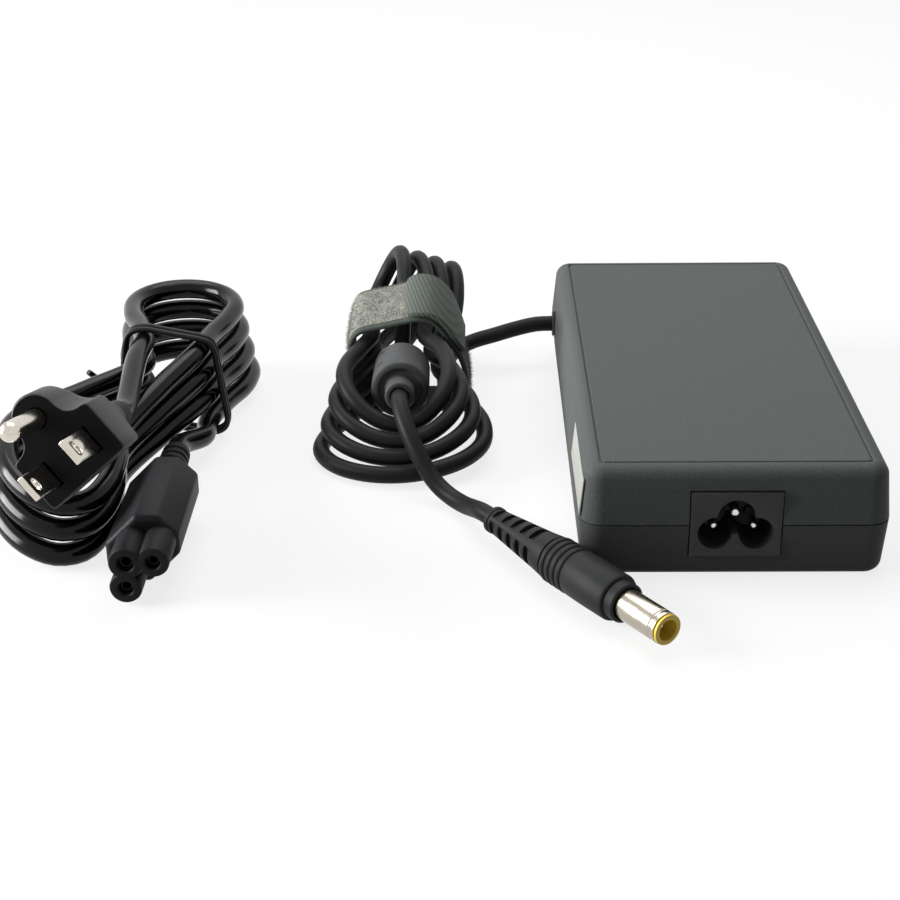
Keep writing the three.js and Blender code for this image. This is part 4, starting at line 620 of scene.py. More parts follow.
def place(piece, body, finish, slot, *nodes):
    """Gives a piece its finish and body, and the CAD nodes that it stands for."""
    if finish:
        piece.data.materials.clear()
        piece.data.materials.append(coat(finish))
    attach(piece, body)
    if nodes:
        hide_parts(*nodes)
    return piece


def dress(finish, *nodes):
    """Gives CAD nodes a finish."""
    for node in nodes:
        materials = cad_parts[node].data.materials
        materials.clear()
        materials.append(coat(finish))


# ---- nodes ----

def join(tree, value, socket):
    """Links a socket, or a node's first output, to an input, or writes a value into it."""
    if isinstance(value, bpy.types.Node):
        value = value.outputs[0]
    if isinstance(value, bpy.types.NodeSocket):
        tree.links.new(value, socket)
    else:
        socket.default_value = value


def add_node(tree, kind, settings=None, **inputs):
    """A node with its properties set, and its inputs, by name or by _number, linked or filled in."""
    node = tree.nodes.new(kind)
    for label, value in (settings or {}).items():
        setattr(node, label, value)
    for label, value in inputs.items():
        join(tree, value, node.inputs[int(label[1:]) if label[0] == "_" else label.replace("_", " ")])
    return node


class NodeRig:
    """A geometry node tree with named inputs, used once on a piece."""

    def __init__(self, name, inputs):
        self.tree = bpy.data.node_groups.new(name, "GeometryNodeTree")
        sockets = self.tree.interface
        inputs = {"Geometry": ("Geometry", None), **inputs, "Finish": ("Material", None)}
        for label, (kind, default) in inputs.items():
            socket = sockets.new_socket(label, in_out="INPUT", socket_type="NodeSocket" + kind)
            if default is not None:
                socket.default_value = default
        sockets.new_socket("Geometry", in_out="OUTPUT", socket_type="NodeSocketGeometry")
        self.inputs = self.tree.nodes.new("NodeGroupInput").outputs

    def add(self, kind, settings=None, **inputs):
        """A node of this tree."""
        return add_node(self.tree, kind, settings, **inputs)

    def apply(self, piece, geometry, **values):
        """Runs the tree on a piece and keeps the result as plain mesh, in the finish among the values."""
        real = self.add("GeometryNodeRealizeInstances", Geometry=geometry)
        self.add("NodeGroupOutput", _0=self.add(
            "GeometryNodeSetMaterial", Geometry=real, Material=self.inputs["Finish"]))
        modifier = piece.modifiers.new(self.tree.name, "NODES")
        modifier.node_group = self.tree
        for item in self.tree.interface.items_tree:
            if item.in_out == "INPUT" and item.name in values:
                modifier[item.identifier] = values[item.name]
        return settle(piece)


def make_tube(name, line, diameter, sides, finish):
    """A cord of round section along a line."""
    mesh = bpy.data.meshes.new(name)
    edges = [(i, i + 1) for i in range(len(line) - 1)]
    mesh.from_pydata([tuple(p) for p in np.array(line) * MM], edges, [])
    piece = add_object(name, mesh)
    rig = NodeRig("Lead tube", {"Diameter": ("Float", 0.005), "Sides": ("Int", 20)})
    radius = rig.add("ShaderNodeMath", {"operation": "DIVIDE"}, _0=rig.inputs["Diameter"], _1=2)
    ring = rig.add(
        "GeometryNodeCurvePrimitiveCircle", {"mode": "RADIUS"}, Resolution=rig.inputs["Sides"], Radius=radius)
    curve = rig.add("GeometryNodeMeshToCurve", Mesh=rig.inputs["Geometry"])
    tube = rig.add("GeometryNodeCurveToMesh", Curve=curve, Profile_Curve=ring, Fill_Caps=True)
    rig.apply(piece, tube, Diameter=diameter * MM, Sides=sides, Finish=coat(finish))
    outward(piece.data)
    return soften(piece, 0, angle=40)


def grow_fibres(piece, finish, thickness, tilt):
    """Stands short fibres on the faces marked as pile, and keeps the ground that carries them."""
    rig = NodeRig("Loop pile", {
        "Density": ("Float", 1000.0), "Length": ("Float", 0.001), "Thickness": ("Float", 0.0001),
        "Tilt": ("Float", 0.9), "Seed": ("Int", FIBRE_SEED),
    })
    ground, seed = rig.inputs["Geometry"], rig.inputs["Seed"]
    marked = rig.add("GeometryNodeInputNamedAttribute", {"data_type": "BOOLEAN"}, Name="pile")
    spots = rig.add(
        "GeometryNodeDistributePointsOnFaces", Mesh=ground, Selection=marked.outputs["Attribute"],
        Density=rig.inputs["Density"], Seed=seed)
    fibre = rig.add(
        "GeometryNodeMeshCone", Vertices=3, Side_Segments=2, Radius_Top=FIBRE_TIP * MM,
        Radius_Bottom=rig.inputs["Thickness"], Depth=rig.inputs["Length"])
    back = rig.add("ShaderNodeMath", {"operation": "MULTIPLY"}, _0=rig.inputs["Tilt"], _1=-1)
    low, high = (rig.add("ShaderNodeCombineXYZ", X=lean, Y=lean) for lean in (back, rig.inputs["Tilt"]))
    sway = rig.add("FunctionNodeRandomValue", {"data_type": "FLOAT_VECTOR"}, _0=low, _1=high, Seed=seed)
    size = rig.add("FunctionNodeRandomValue", {"data_type": "FLOAT"}, _2=FIBRE_SHORTEST, _3=1.0, Seed=seed)
    turn = rig.add(
        "FunctionNodeRotateRotation", {"rotation_space": "LOCAL"}, Rotation=spots.outputs["Rotation"],
        Rotate_By=rig.add("FunctionNodeEulerToRotation", Euler=sway))
    pile = rig.add(
        "GeometryNodeInstanceOnPoints", Points=spots, Instance=fibre, Rotation=turn, Scale=size.outputs[1])
    whole = rig.add("GeometryNodeJoinGeometry")
    for part in (pile, ground):
        join(rig.tree, part, whole.inputs[0])
    rig.apply(
        piece, whole, Density=sizes().fibre_density, Length=sizes().fibre_length, Thickness=thickness * MM,
        Tilt=tilt, Seed=FIBRE_SEED, Finish=coat(finish))


def slot_row(name, finish, count, pitch, size, growth):
    """Row of blocks at an even pitch, each wider than the one before."""
    rig = NodeRig("Slot row", {
        "Count": ("Int", 5), "Pitch": ("Vector", (0, 0, 0.004)), "Size": ("Vector", (0.002, 0.003, 0.002)),
        "Growth": ("Float", 0.0),
    })
    row = rig.add("GeometryNodeMeshLine", Count=rig.inputs["Count"], Offset=rig.inputs["Pitch"])
    cube = rig.add("GeometryNodeMeshCube", Size=rig.inputs["Size"])
    wider = rig.add(
        "ShaderNodeMath", {"operation": "MULTIPLY_ADD"}, _0=rig.add("GeometryNodeInputIndex"),
        _1=rig.inputs["Growth"], _2=1)
    scale = rig.add("ShaderNodeCombineXYZ", X=1, Y=wider, Z=1)
    blocks = rig.add("GeometryNodeInstanceOnPoints", Points=row, Instance=cube, Scale=scale)
    piece = rig.apply(
        add_object(name, bpy.data.meshes.new(name)), blocks, Count=count, Pitch=(0, 0, pitch * MM),
        Size=tuple(v * MM for v in size), Growth=growth, Finish=coat(finish))
    outward(piece.data)
    return piece


# ---- finishes ----

class Finish:
    """A material whose patterns lie in the object's own space."""

    def __init__(self, name, colour, roughness, metallic=0.0, specular=0.5):
        self.material = bpy.data.materials.new(name)
        self.material.use_nodes = True
        self.material.diffuse_color = (*colour, 1)
        self.tree = self.material.node_tree
        self.inputs = self.tree.nodes["Principled BSDF"].inputs
        self.colour = tuple(colour)
        self.set(Base_Color=(*colour, 1), Roughness=roughness, Metallic=metallic, Specular_IOR_Level=specular)
        self.place = self.add("ShaderNodeTexCoord").outputs["Object"]

    def add(self, kind, settings=None, **inputs):
        """A node of this finish."""
        return add_node(self.tree, kind, settings, **inputs)

    def set(self, **values):
        """Links or fills in the shader's inputs."""
        for label, value in values.items():
            join(self.tree, value, self.inputs[label.replace("_", " ")])

    def noise(self, size, detail):
        """Noise whose patches are about size millimetres across."""
        return self.add("ShaderNodeTexNoise", Vector=self.place, Scale=1 / (size * MM), Detail=detail)

    def mottle(self, pattern, spread):
        """Colour that wanders a little darker and lighter with a pattern."""
        ramp = self.add("ShaderNodeValToRGB", Fac=pattern)
        for element, at, change in zip(ramp.color_ramp.elements, (0.3, 0.7), (1 - spread, 1 + spread)):
            element.position = at
            element.color = (*(min(1, c * change) for c in self.colour), 1)
        self.set(Base_Color=ramp)

    def polish(self, pattern, low, high):
        """Roughness that wanders between two values with a pattern."""
        self.set(Roughness=self.add(
            "ShaderNodeMapRange", Value=pattern, From_Min=0.3, From_Max=0.7, To_Min=low, To_Max=high))

    def relief(self, pattern, depth):
        """Fine relief, its depth in millimetres, on top of any before it."""
        bump = self.add("ShaderNodeBump", Height=pattern, Distance=depth * MM, Strength=1.0)
        before = self.inputs["Normal"].links
        if before:
            join(self.tree, before[0].from_socket, bump.inputs["Normal"])
        self.set(Normal=bump)


def coated(name, colour, roughness, tone, reliefs, polish=None, metallic=0.0, specular=0.5, **extras):
    """A finish with noise in its tone, its polish and its relief.

    Each noise is its size in millimetres, its detail and then its reach: a share of the colour,
    the lowest and highest roughness, or a depth in millimetres.
    """
    finish = Finish(name, colour, roughness, metallic, specular)
    finish.mottle(finish.noise(*tone[:2]), tone[2])
    if polish:
        finish.polish(finish.noise(*polish[:2]), *polish[2:])
    for size, detail, depth in reliefs:
        finish.relief(finish.noise(size, detail), depth)
    finish.set(**extras)
    return finish.material


def grained_plastic(name, colour, rough, grain=0.4, depth=0.03, spread=0.12, specular=0.35):
    """Moulded plastic with an eroded grain."""
    polish = (grain, 2, rough - 0.04, rough + 0.04)
    return coated(name, colour, rough, (grain, 2, spread), [(grain, 2, depth)], polish, specular=specular)


def smooth_plastic(name, colour, rough, specular=0.5):
    """Moulded plastic with a soft polish."""
    polish = (6, 2, rough - 0.03, rough + 0.05)
    return coated(name, colour, rough, (9, 2, 0.05), [(0.8, 2, 0.004)], polish, specular=specular)


def metal(name, colour, rough):
    """Plated metal with faint handling marks."""
    polish = (3, 3, rough * 0.85, rough * 1.25)
    return coated(name, colour, rough, (4, 2, 0.03), [(1.5, 1, 0.001)], polish, metallic=1.0)


def jacket(name, colour, rough, depth, specular=0.2):
    """Extruded cord jacket with a slight unevenness."""
    polish = (8, 2, rough - 0.02, rough + 0.05)
    reliefs = [(0.35, 2, depth), (9, 1, depth * 2)]
    return coated(name, colour, rough, (14, 2, 0.05), reliefs, polish, specular=specular)


def loop_cloth(name, colour):
    """Brushed loop pile of the strap."""
    return coated(
        name, colour, 0.95, (0.5, 4, 0.3), [(0.3, 3, 0.1)], specular=0.1, Sheen_Weight=0.4, Sheen_Roughness=0.6)


def hook_cloth(name, colour, pitch):
    """Woven tape of the strap's hook tab: a check of crossing threads, and a fine roughness."""
    finish = Finish(name, colour, 0.7, specular=0.3)
    wave = 2 * math.pi / (pitch * MM)
    turn = (0, math.radians(40), 0)
    place_turned = finish.add("ShaderNodeMapping", Vector=finish.place, Rotation=turn, Scale=(wave,) * 3)
    axes = finish.add("ShaderNodeSeparateXYZ", Vector=place_turned)
    along, across = (
        finish.add("ShaderNodeMapRange", From_Min=-1.0, From_Max=1.0, Value=finish.add(
            "ShaderNodeMath", {"operation": "SINE"}, Value=axes.outputs[i]))
        for i in (0, 1)
    )
    check = finish.add("ShaderNodeMath", {"operation": "MULTIPLY"}, _0=along, _1=across)
    finish.mottle(check, 0.3)
    finish.relief(check, 0.15)
    finish.relief(finish.noise(0.25, 2), 0.05)
    return finish.material


def strap_backing(name, colour):
    """Tight weave of the strap's edge and inner side."""
    return coated(name, colour, 0.8, (0.4, 2, 0.15), [(0.3, 2, 0.05)], specular=0.2)


def label_film(name, colour):
    """Blank paper label with a faint clouding."""
    return coated(name, colour, 0.6, (3, 3, 0.05), [(0.4, 2, 0.01)], specular=0.3)


def wound_wire(name, colour, pitch):
    """Turns of enamelled wire or tape, laid side by side."""
    finish = Finish(name, colour, 0.35)
    bands = finish.add("ShaderNodeTexWave", Vector=finish.place, Scale=1 / (pitch * MM * 20)).outputs["Fac"]
    finish.mottle(bands, 0.25)
    finish.relief(bands, 0.1)
    return finish.material


def glass_tube(name, colour):
    """Glass of the fuse, with its metal caps seen as the same pale grey."""
    return coated(name, colour, 0.15, (2, 2, 0.06), [(1.5, 2, 0.01)], Coat_Weight=0.5)


# Maker of each finish, its colour as a code or a setting, and the maker's other values
FINISHES = {
    "Case top": (grained_plastic, "case_top", 0.62, 0.4, 0.05, 0.2, 0.15),
    "Case base": (grained_plastic, "case_base", 0.6, 0.35, 0.02, 0.12, 0.1),
    "Inlet": (smooth_plastic, 0x232424, 0.5, 0.3),
    "Pin nickel": (metal, 0xD8D5CE, 0.2),
    # Connector contacts: near-black metal, painted shade standing in for the shadow deep inside the holes
    "Contact": (metal, 0x2A2826, 0.5),
    "Label": (label_film, "label"),
    "Board laminate": (smooth_plastic, 0x5F7A3A, 0.5),
    "Sintered ferrite": (grained_plastic, 0x3F4042, 0.6, 0.3),
    "Winding tape": (wound_wire, 0xD9B33A, 1.0),
    "Capacitor sleeve": (smooth_plastic, 0x22242B, 0.35),
    "Filter capacitor": (smooth_plastic, 0xD8B23C, 0.4),
    "Sheet aluminium": (metal, 0xB9BCC0, 0.35),
    "Chip epoxy": (grained_plastic, 0x1D1D1F, 0.55, 0.3, 0.02),
    "Fuse glass": (glass_tube, 0xCFD6D8),
    "Insulating film": (label_film, 0xE6E2D2),
    "Red insulation": (jacket, 0x9C2B26, 0.45, 0.004),
    "Black insulation": (jacket, 0x202124, 0.45, 0.004),
    "Lead jacket": (jacket, "lead", 0.45, 0.004, 0.12),
    "Grommet rubber": (smooth_plastic, 0x3A3D3C, 0.6, 0.2),
    "Bead plastic": (smooth_plastic, "bead", 0.5, 0.2),
    "Loop pile": (loop_cloth, "strap"),
    "Strap backing": (strap_backing, 0x4A504A),
    "Hook tape": (hook_cloth, "hook_tab", 0.9),
    "Barrel plug plastic": (grained_plastic, "barrel_plug", 0.5, 0.35, 0.015, 0.12, 0.12),
    "Barrel nickel": (metal, 0xB4AC9E, 0.2),
    "Yellow insulator": (smooth_plastic, 0xEBCB48, 0.4),
    "Mains jacket": (jacket, "mains", 0.16, 0.0007, 0.18),
    "Mains plug grain": (grained_plastic, 0x262828, 0.5, 0.5, 0.06, 0.12, 0.3),
    "Mains plug face": (smooth_plastic, 0x0C0C0D, 0.5, 0.08),
    "Connector plastic": (grained_plastic, 0x161719, 0.5, 0.4, 0.03, 0.12, 0.12),
    "Blade nickel": (metal, 0xD2CCC0, 0.17),
    "Tie sleeve": (smooth_plastic, 0x141415, 0.4, 0.2),
}


def coat(name):
    """The finish of that name, made on first use."""
    if name not in bpy.data.materials:
        maker, colour, *values = FINISHES[name]
        settings = bpy.context.scene.adapter_colours
        maker(name, getattr(settings, colour) if isinstance(colour, str) else shade(colour), *values)
    return bpy.data.materials[name]


# ---- settings ----

class AdapterColours(bpy.types.PropertyGroup):
    """Colours of the adapter's main finishes."""
    case_top: colour_property("Upper Shell", "Colour of the upper shell", 0x4C504F)
    case_base: colour_property("Lower Shell", "Colour of the lower shell", 0x484A49)
    label: colour_property("Label", "Colour of the blank side label", 0xA2A39D)
    lead: colour_property("Low-Voltage Lead", "Colour of the low-voltage jacket", 0x19191B)
    bead: colour_property("Bead", "Colour of the ferrite bead's cover", 0x454647)
    strap: colour_property("Strap", "Colour of the strap's loop pile", 0x88887F)
    hook_tab: colour_property("Hook Tab", "Colour of the strap's hook tab", 0x5E655E)
    barrel_plug: colour_property("Barrel Plug", "Colour of the barrel plug", 0x262728)
    mains: colour_property("Mains Lead", "Colour of the mains jacket", 0x080809)


class AdapterSizes(bpy.types.PropertyGroup):
    """Sizes that only change the visible surface."""
    fibre_length: length_property("Fibre Length", "Longest fibre of the strap's pile", 1.5)
    fibre_density: FloatProperty(
        name="Fibre Density", description="Fibres to each square metre of pile", min=0, default=6.0e6)
    lead_sides: IntProperty(name="Lead Sides", description="Sides of a lead's round section", min=8, default=24)


class AdapterStudio(bpy.types.PropertyGroup):
    """Camera lens and light levels."""
    focal_length: FloatProperty(
        name="Focal Length", description="Lens of the camera", unit="CAMERA", min=1, default=69.55)
    overhead: power_property("Overhead", "Softbox above the adapter", 7.9)
    left_key: power_property("Left Key", "Softbox on the left", 23.0)
    front_fill: power_property("Front Fill", "Weak light from the front", 0.1)
    ambience: FloatProperty(name="Ambience", description="Even light of the room", min=0, default=0.08)


def sizes():
    """The size settings."""
    return bpy.context.scene.adapter_sizes


# ---- stage ----

CAMERA_PLACE = (-0.0645, -0.4574, 0.2125)
CAMERA_PITCH = 0.4377
CAMERA_YAW = -0.0143
CAMERA_ROLL = -0.0098
STAGE_CENTRE = Vector((-0.07, 0.0, 0.015))
FLOOR_REACH = 4.0
# Place and size of each softbox, and the setting that holds its power
SOFTBOXES = {
    "Overhead softbox": ((-0.1, 0.35, 0.95), 0.9, "overhead"),
    "Left softbox": ((-1.0, -0.05, 0.28), 0.6, "left_key"),
    "Front fill": ((0.25, -1.1, 0.5), 0.6, "front_fill"),
}
# Tone of the floor where it is seen, where it only throws light back, and its share of glow
PAPER_SEEN = 0.95
PAPER_BOUNCE = 0.34
PAPER_GLOW = 0.8


def add_camera():
    """The camera at the angle that the adapter is seen from."""
    lens = bpy.data.cameras.new("Camera")
    lens.lens = bpy.context.scene.adapter_studio.focal_length
    lens.sensor_width = 36
    lens.clip_start = 0.01
    camera = add_object("Camera", lens)
    stand = Matrix.Translation(CAMERA_PLACE)
    for turn, axis in ((-CAMERA_YAW, "Z"), (math.pi / 2 - CAMERA_PITCH, "X"), (CAMERA_ROLL, "Z")):
        stand @= Matrix.Rotation(turn, 4, axis)
    camera.matrix_world = stand
    bpy.context.scene.camera = camera


def add_softbox(name, position, size, power):
    """A square softbox that faces the adapter."""
    lamp = bpy.data.lights.new(name, "AREA")
    lamp.shape, lamp.size, lamp.energy = "SQUARE", size, power
    aim = (STAGE_CENTRE - Vector(position)).to_track_quat("-Z", "Y").to_matrix().to_4x4()
    add_object(name, lamp).matrix_world = Matrix.Translation(position) @ aim


def seen_directly(tree):
    """1 for rays that show the background itself: from the camera, a mirror or glass."""
    path = add_node(tree, "ShaderNodeLightPath")
    total = path.outputs["Is Camera Ray"]
    for label in ("Is Glossy Ray", "Is Transmission Ray"):
        total = add_node(tree, "ShaderNodeMath", {"operation": "MAXIMUM"}, _0=total, _1=path.outputs[label])
    return total


def light_world():
    """Even room light, with a white background where it is seen."""
    world = bpy.data.worlds.new("Studio")
    world.use_nodes = True
    bpy.context.scene.world = world
    tree = world.node_tree
    room = tree.nodes["Background"]
    room.inputs["Color"].default_value = (1, 1, 1, 1)
    room.inputs["Strength"].default_value = bpy.context.scene.adapter_studio.ambience
    white = add_node(tree, "ShaderNodeBackground", Color=(1, 1, 1, 1))
    blend = add_node(tree, "ShaderNodeMixShader", _0=seen_directly(tree), _1=room, _2=white)
    join(tree, blend, tree.nodes["World Output"].inputs["Surface"])


def floor_finish():
    """White paper that glows to white where it is seen, and still keeps a shadow."""
    material = bpy.data.materials.new("White paper")
    material.use_nodes = True
    tree = material.node_tree
    tree.nodes.clear()
    seen = seen_directly(tree)
    tone = add_node(tree, "ShaderNodeMapRange", Value=seen, To_Min=PAPER_BOUNCE, To_Max=PAPER_SEEN)
    share = add_node(tree, "ShaderNodeMath", {"operation": "MULTIPLY"}, _0=seen, _1=PAPER_GLOW)
    paper = add_node(tree, "ShaderNodeBsdfDiffuse", Color=tone)
    glow = add_node(tree, "ShaderNodeEmission", Strength=1.0)
    blend = add_node(tree, "ShaderNodeMixShader", _0=share, _1=paper, _2=glow)
    add_node(tree, "ShaderNodeOutputMaterial", Surface=blend)
    return material


class ADAPTER_OT_stage(bpy.types.Operator):
    """Sets up the camera, the white floor and soft studio light"""
    bl_idname = "adapter.stage"
    bl_label = "Stage"

    def execute(self, context):
        studio = context.scene.adapter_studio
        add_camera()
        floor = bpy.data.meshes.new("Floor")
        signs = ((-1, -1), (1, -1), (1, 1), (-1, 1))
        floor.from_pydata([(x * FLOOR_REACH, y * FLOOR_REACH, 0) for x, y in signs], [], [(0, 1, 2, 3)])
        floor.materials.append(floor_finish())
        add_object("Floor", floor)
        light_world()
        for name, (position, size, setting) in SOFTBOXES.items():
            add_softbox(name, position, size, getattr(studio, setting))
        context.scene.view_settings.view_transform = "Standard"
        return {"FINISHED"}


# ---- brick ----

CORNER_STEPS = 14
FILLET_STEPS = 8
SEAM_LOW = CASE_PARTING_HEIGHT - GAP / 2
SEAM_HIGH = CASE_PARTING_HEIGHT + GAP / 2
TONGUE_TOP = SEAM_LOW + TONGUE_HEIGHT
GROOVE_ROOF = TONGUE_TOP + GAP
TOP_SIDE = CASE_HEIGHT - CASE_TOP_FILLET
CEILING = CASE_HEIGHT - CASE_WALL
FRONT = -CASE_LENGTH / 2
RIM_ROUND = 0.12


def case_ring(height, inset):
    """Rounded rectangle of the case at one height, drawn in by an inset."""
    radius = max(CASE_CORNER_RADIUS - inset, 1)
    hx = CASE_WIDTH / 2 - inset - radius
    hy = CASE_LENGTH / 2 - inset - radius
    ring = []
    for corner, (sx, sy) in enumerate(((1, 1), (-1, 1), (-1, -1), (1, -1))):
        for k in range(CORNER_STEPS + 1):
            angle = (corner + k / CORNER_STEPS) * math.pi / 2
            ring.append((sx * hx + radius * math.cos(angle), sy * hy + radius * math.sin(angle), height))
    return ring


def top_draft(height):
    """How far the upper shell's side leans in at a height."""
    return TOP_DRAFT * (height - SEAM_HIGH) / (TOP_SIDE - SEAM_HIGH)


def fillet_angles():
    """Even steps of a quarter turn."""
    return [k / FILLET_STEPS * math.pi / 2 for k in range(1, FILLET_STEPS + 1)]


def cut_openings(shell, *others):
    """Cuts the inlet's opening, the grommet's hole and the others out of a shell."""
    half = INLET_WIDTH / 2 + GAP
    low = INLET_CENTRE_HEIGHT - INLET_HEIGHT / 2 - GAP
    high = INLET_CENTRE_HEIGHT + INLET_HEIGHT / 2 + GAP
    opening = block("Opening", (-half, FRONT - CASE_WALL, low), (half, FRONT + 2.5 * CASE_WALL, high))
    hole = rod("Hole", GROMMET_NECK / 2 + GAP, -2.5 * CASE_WALL, CASE_WALL, LEAD_EXIT, LEFT)
    return soften(combine(shell, "DIFFERENCE", opening, hole, *others), 0, angle=28)


def label_block(name, outside, inside, margin):
    """A block of the label's outline on the drafted left side, from outside the wall to inside it."""
    hy = LABEL_LENGTH / 2 + margin
    hz = LABEL_HEIGHT / 2 + margin
    tilt = math.atan2(TOP_DRAFT, TOP_SIDE - SEAM_HIGH)
    side = top_draft(LABEL_CENTRE_HEIGHT) - CASE_WIDTH / 2
    return move(
        block(name, (-outside, -hy, -hz), (inside, hy, hz)),
        (side, FRONT + LABEL_FROM_FRONT, LABEL_CENTRE_HEIGHT), -LEFT, UP, tilt)


def upper_shell():
    """The upper shell with its fine groove, its openings and the label's pocket."""
    lip = CASE_WALL - TONGUE_THICKNESS - GAP
    outer = TOP_GROOVE_MARGIN - TOP_GROOVE_WIDTH / 2
    inner = TOP_GROOVE_MARGIN + TOP_GROOVE_WIDTH / 2
    floor = CASE_HEIGHT - TOP_GROOVE_DEPTH
    profile = [
        (CEILING, TOP_DRAFT + CASE_WALL + INNER_FILLET), (CEILING - INNER_FILLET, TOP_DRAFT + CASE_WALL),
        (GROOVE_ROOF, CASE_WALL + top_draft(GROOVE_ROOF)), (GROOVE_ROOF, lip), (SEAM_HIGH, lip),
        (SEAM_HIGH, RIM_ROUND), (SEAM_HIGH + RIM_ROUND, 0), (TOP_SIDE, TOP_DRAFT),
        *((TOP_SIDE + CASE_TOP_FILLET * math.sin(a), TOP_DRAFT + CASE_TOP_FILLET * (1 - math.cos(a)))
          for a in fillet_angles()),
        (CASE_HEIGHT, outer - RIM_ROUND), (CASE_HEIGHT - RIM_ROUND, outer), (floor, outer + RIM_ROUND),
        (floor, inner - RIM_ROUND), (CASE_HEIGHT - RIM_ROUND, inner), (CASE_HEIGHT, inner + RIM_ROUND),
    ]
    shell = skin("upper_shell", [case_ring(*point) for point in profile])
    return cut_openings(shell, label_block("Pocket", CASE_WALL, LABEL_THICKNESS + GAP, GAP))


def lower_shell():
    """The lower shell with its tongue and four board posts."""
    rim = CASE_WALL - TONGUE_THICKNESS
    profile = [
        *((CASE_BASE_FILLET * (1 - math.cos(a)), BASE_DRAFT + CASE_BASE_FILLET * (1 - math.sin(a)))
          for a in [0, *fillet_angles()]),
        (SEAM_LOW - RIM_ROUND, 0), (SEAM_LOW, RIM_ROUND), (SEAM_LOW, rim), (TONGUE_TOP, rim),
        (TONGUE_TOP, CASE_WALL), (SEAM_LOW, CASE_WALL), (CASE_WALL + INNER_FILLET, BASE_DRAFT + CASE_WALL),
        (CASE_WALL, BASE_DRAFT + CASE_WALL + INNER_FILLET),
    ]
    shell = skin("lower_shell", [case_ring(*point) for point in profile])
    combine(shell, "UNION", *(
        rod("Post", POST_DIAMETER / 2, CASE_WALL / 2, POST_TOP, (sx * POST_X, sy * POST_Y, 0), UP, 24)
        for sx in (-1, 1) for sy in (-1, 1)))
    return cut_openings(shell)


class ADAPTER_OT_case(bpy.types.Operator):
    """Builds both shells of the brick and the blank label on its side"""
    bl_idname = "adapter.case"
    bl_label = "Case"

    def execute(self, context):
        place(upper_shell(), ADAPTER, "Case top", "case_top", "top_cover")
        place(lower_shell(), ADAPTER, "Case base", "case_base", "bottom_cover")
        label = soften(label_block("blank_label", 0, LABEL_THICKNESS, 0), RIM_ROUND, 2)
        place(label, ADAPTER, "Label", "label_film", "side_label")
        return {"FINISHED"}


class ADAPTER_OT_inlet(bpy.types.Operator):
    """Builds the mains inlet with its recess and three pins"""
    bl_idname = "adapter.inlet"
    bl_label = "Mains Inlet"

    def execute(self, context):
        def slab(name, margin, start, end):
            half, tall = INLET_WIDTH / 2 + margin, INLET_HEIGHT / 2 + margin
            return block(
                name, (-half, FRONT + start, INLET_CENTRE_HEIGHT - tall),
                (half, FRONT + end, INLET_CENTRE_HEIGHT + tall))

        plate = slab("inlet_housing_plate", 0, 0, INLET_PLATE_THICKNESS)
        wall = CASE_WALL + TOP_DRAFT + GAP
        combine(
            plate, "UNION", slab("Body", -INLET_BODY_STEP, INLET_PLATE_THICKNESS / 2, INLET_BODY_DEPTH),
            slab("Flange", INLET_FLANGE, wall, wall + INLET_FLANGE_THICKNESS))
        low, high = INLET_CENTRE_HEIGHT - INLET_LIVE_DROP, INLET_CENTRE_HEIGHT + INLET_EARTH_RISE
        live = (low, INLET_LIVE_LOBE, INLET_LIVE_PIN / 2, INLET_LIVE_SETBACK)
        ways = {
            "line": (-INLET_LIVE_SPACING / 2, *live),
            "neutral": (INLET_LIVE_SPACING / 2, *live),
            "earth": (0, high, INLET_EARTH_LOBE, INLET_EARTH_PIN / 2, INLET_EARTH_SETBACK),
        }
        for x, z, lobe, _, _ in ways.values():
            combine(plate, "DIFFERENCE", rod("Lobe", lobe, -1, INLET_RECESS_DEPTH, (x, FRONT, z), BACK))
        for x, z, _, r, _ in ways.values():
            bore = rod("Bore", r + GAP, 1, INLET_BODY_DEPTH + 1, (x, FRONT, z), BACK, 24)
            combine(plate, "DIFFERENCE", bore)
        place(soften(plate, 0.18, 2), ADAPTER, "Inlet", "inlet_black", "inlet_housing")
        tail = INLET_BODY_DEPTH + INLET_PIN_TAIL
        bends = np.linspace(0, math.pi / 2, 7)
        for name, (x, z, _, r, setback) in ways.items():
            tip = [(r * math.sin(a), setback + r * INLET_PIN_DOME * (1 - math.cos(a))) for a in bends]
            pin = turned(f"inlet_{name}_pin", [*tip, (r, tail), (0, tail)], (x, FRONT, z), BACK, 32)
            place(soften(pin, 0), ADAPTER, "Pin nickel", "pin_metal", f"inlet_pin_{name}")
        return {"FINISHED"}


# Nodes that each finish goes on
CIRCUIT = {
    "Board laminate": ("circuit_board",),
    "Fuse glass": ("fuse",),
    "Filter capacitor": ("line_filter_capacitor",),
    "Winding tape": ("emi_choke", "transformer_winding"),
    "Sintered ferrite": ("pfc_choke", "transformer_core", "output_choke", "ferrite_core"),
    "Capacitor sleeve": ("bulk_capacitor", "output_capacitor_1", "output_capacitor_2"),
    "Sheet aluminium": ("primary_heatsink", "secondary_heatsink", "heat_spreader_plate"),
    "Chip epoxy": ("bridge_rectifier", "switch_transistor", "rectifier_transistor"),
    "Insulating film": ("insulation_sheet",),
    "Red insulation": ("output_wire_positive",),
    "Black insulation": ("output_wire_negative",),
}


class ADAPTER_OT_circuit(bpy.types.Operator):
    """Gives the circuit inside the brick its finishes"""
    bl_idname = "adapter.circuit"
    bl_label = "Circuit"

    def execute(self, context):
        for finish, nodes in CIRCUIT.items():
            dress(finish, *nodes)
        return {"FINISHED"}


# ---- low-voltage lead and what is on it ----

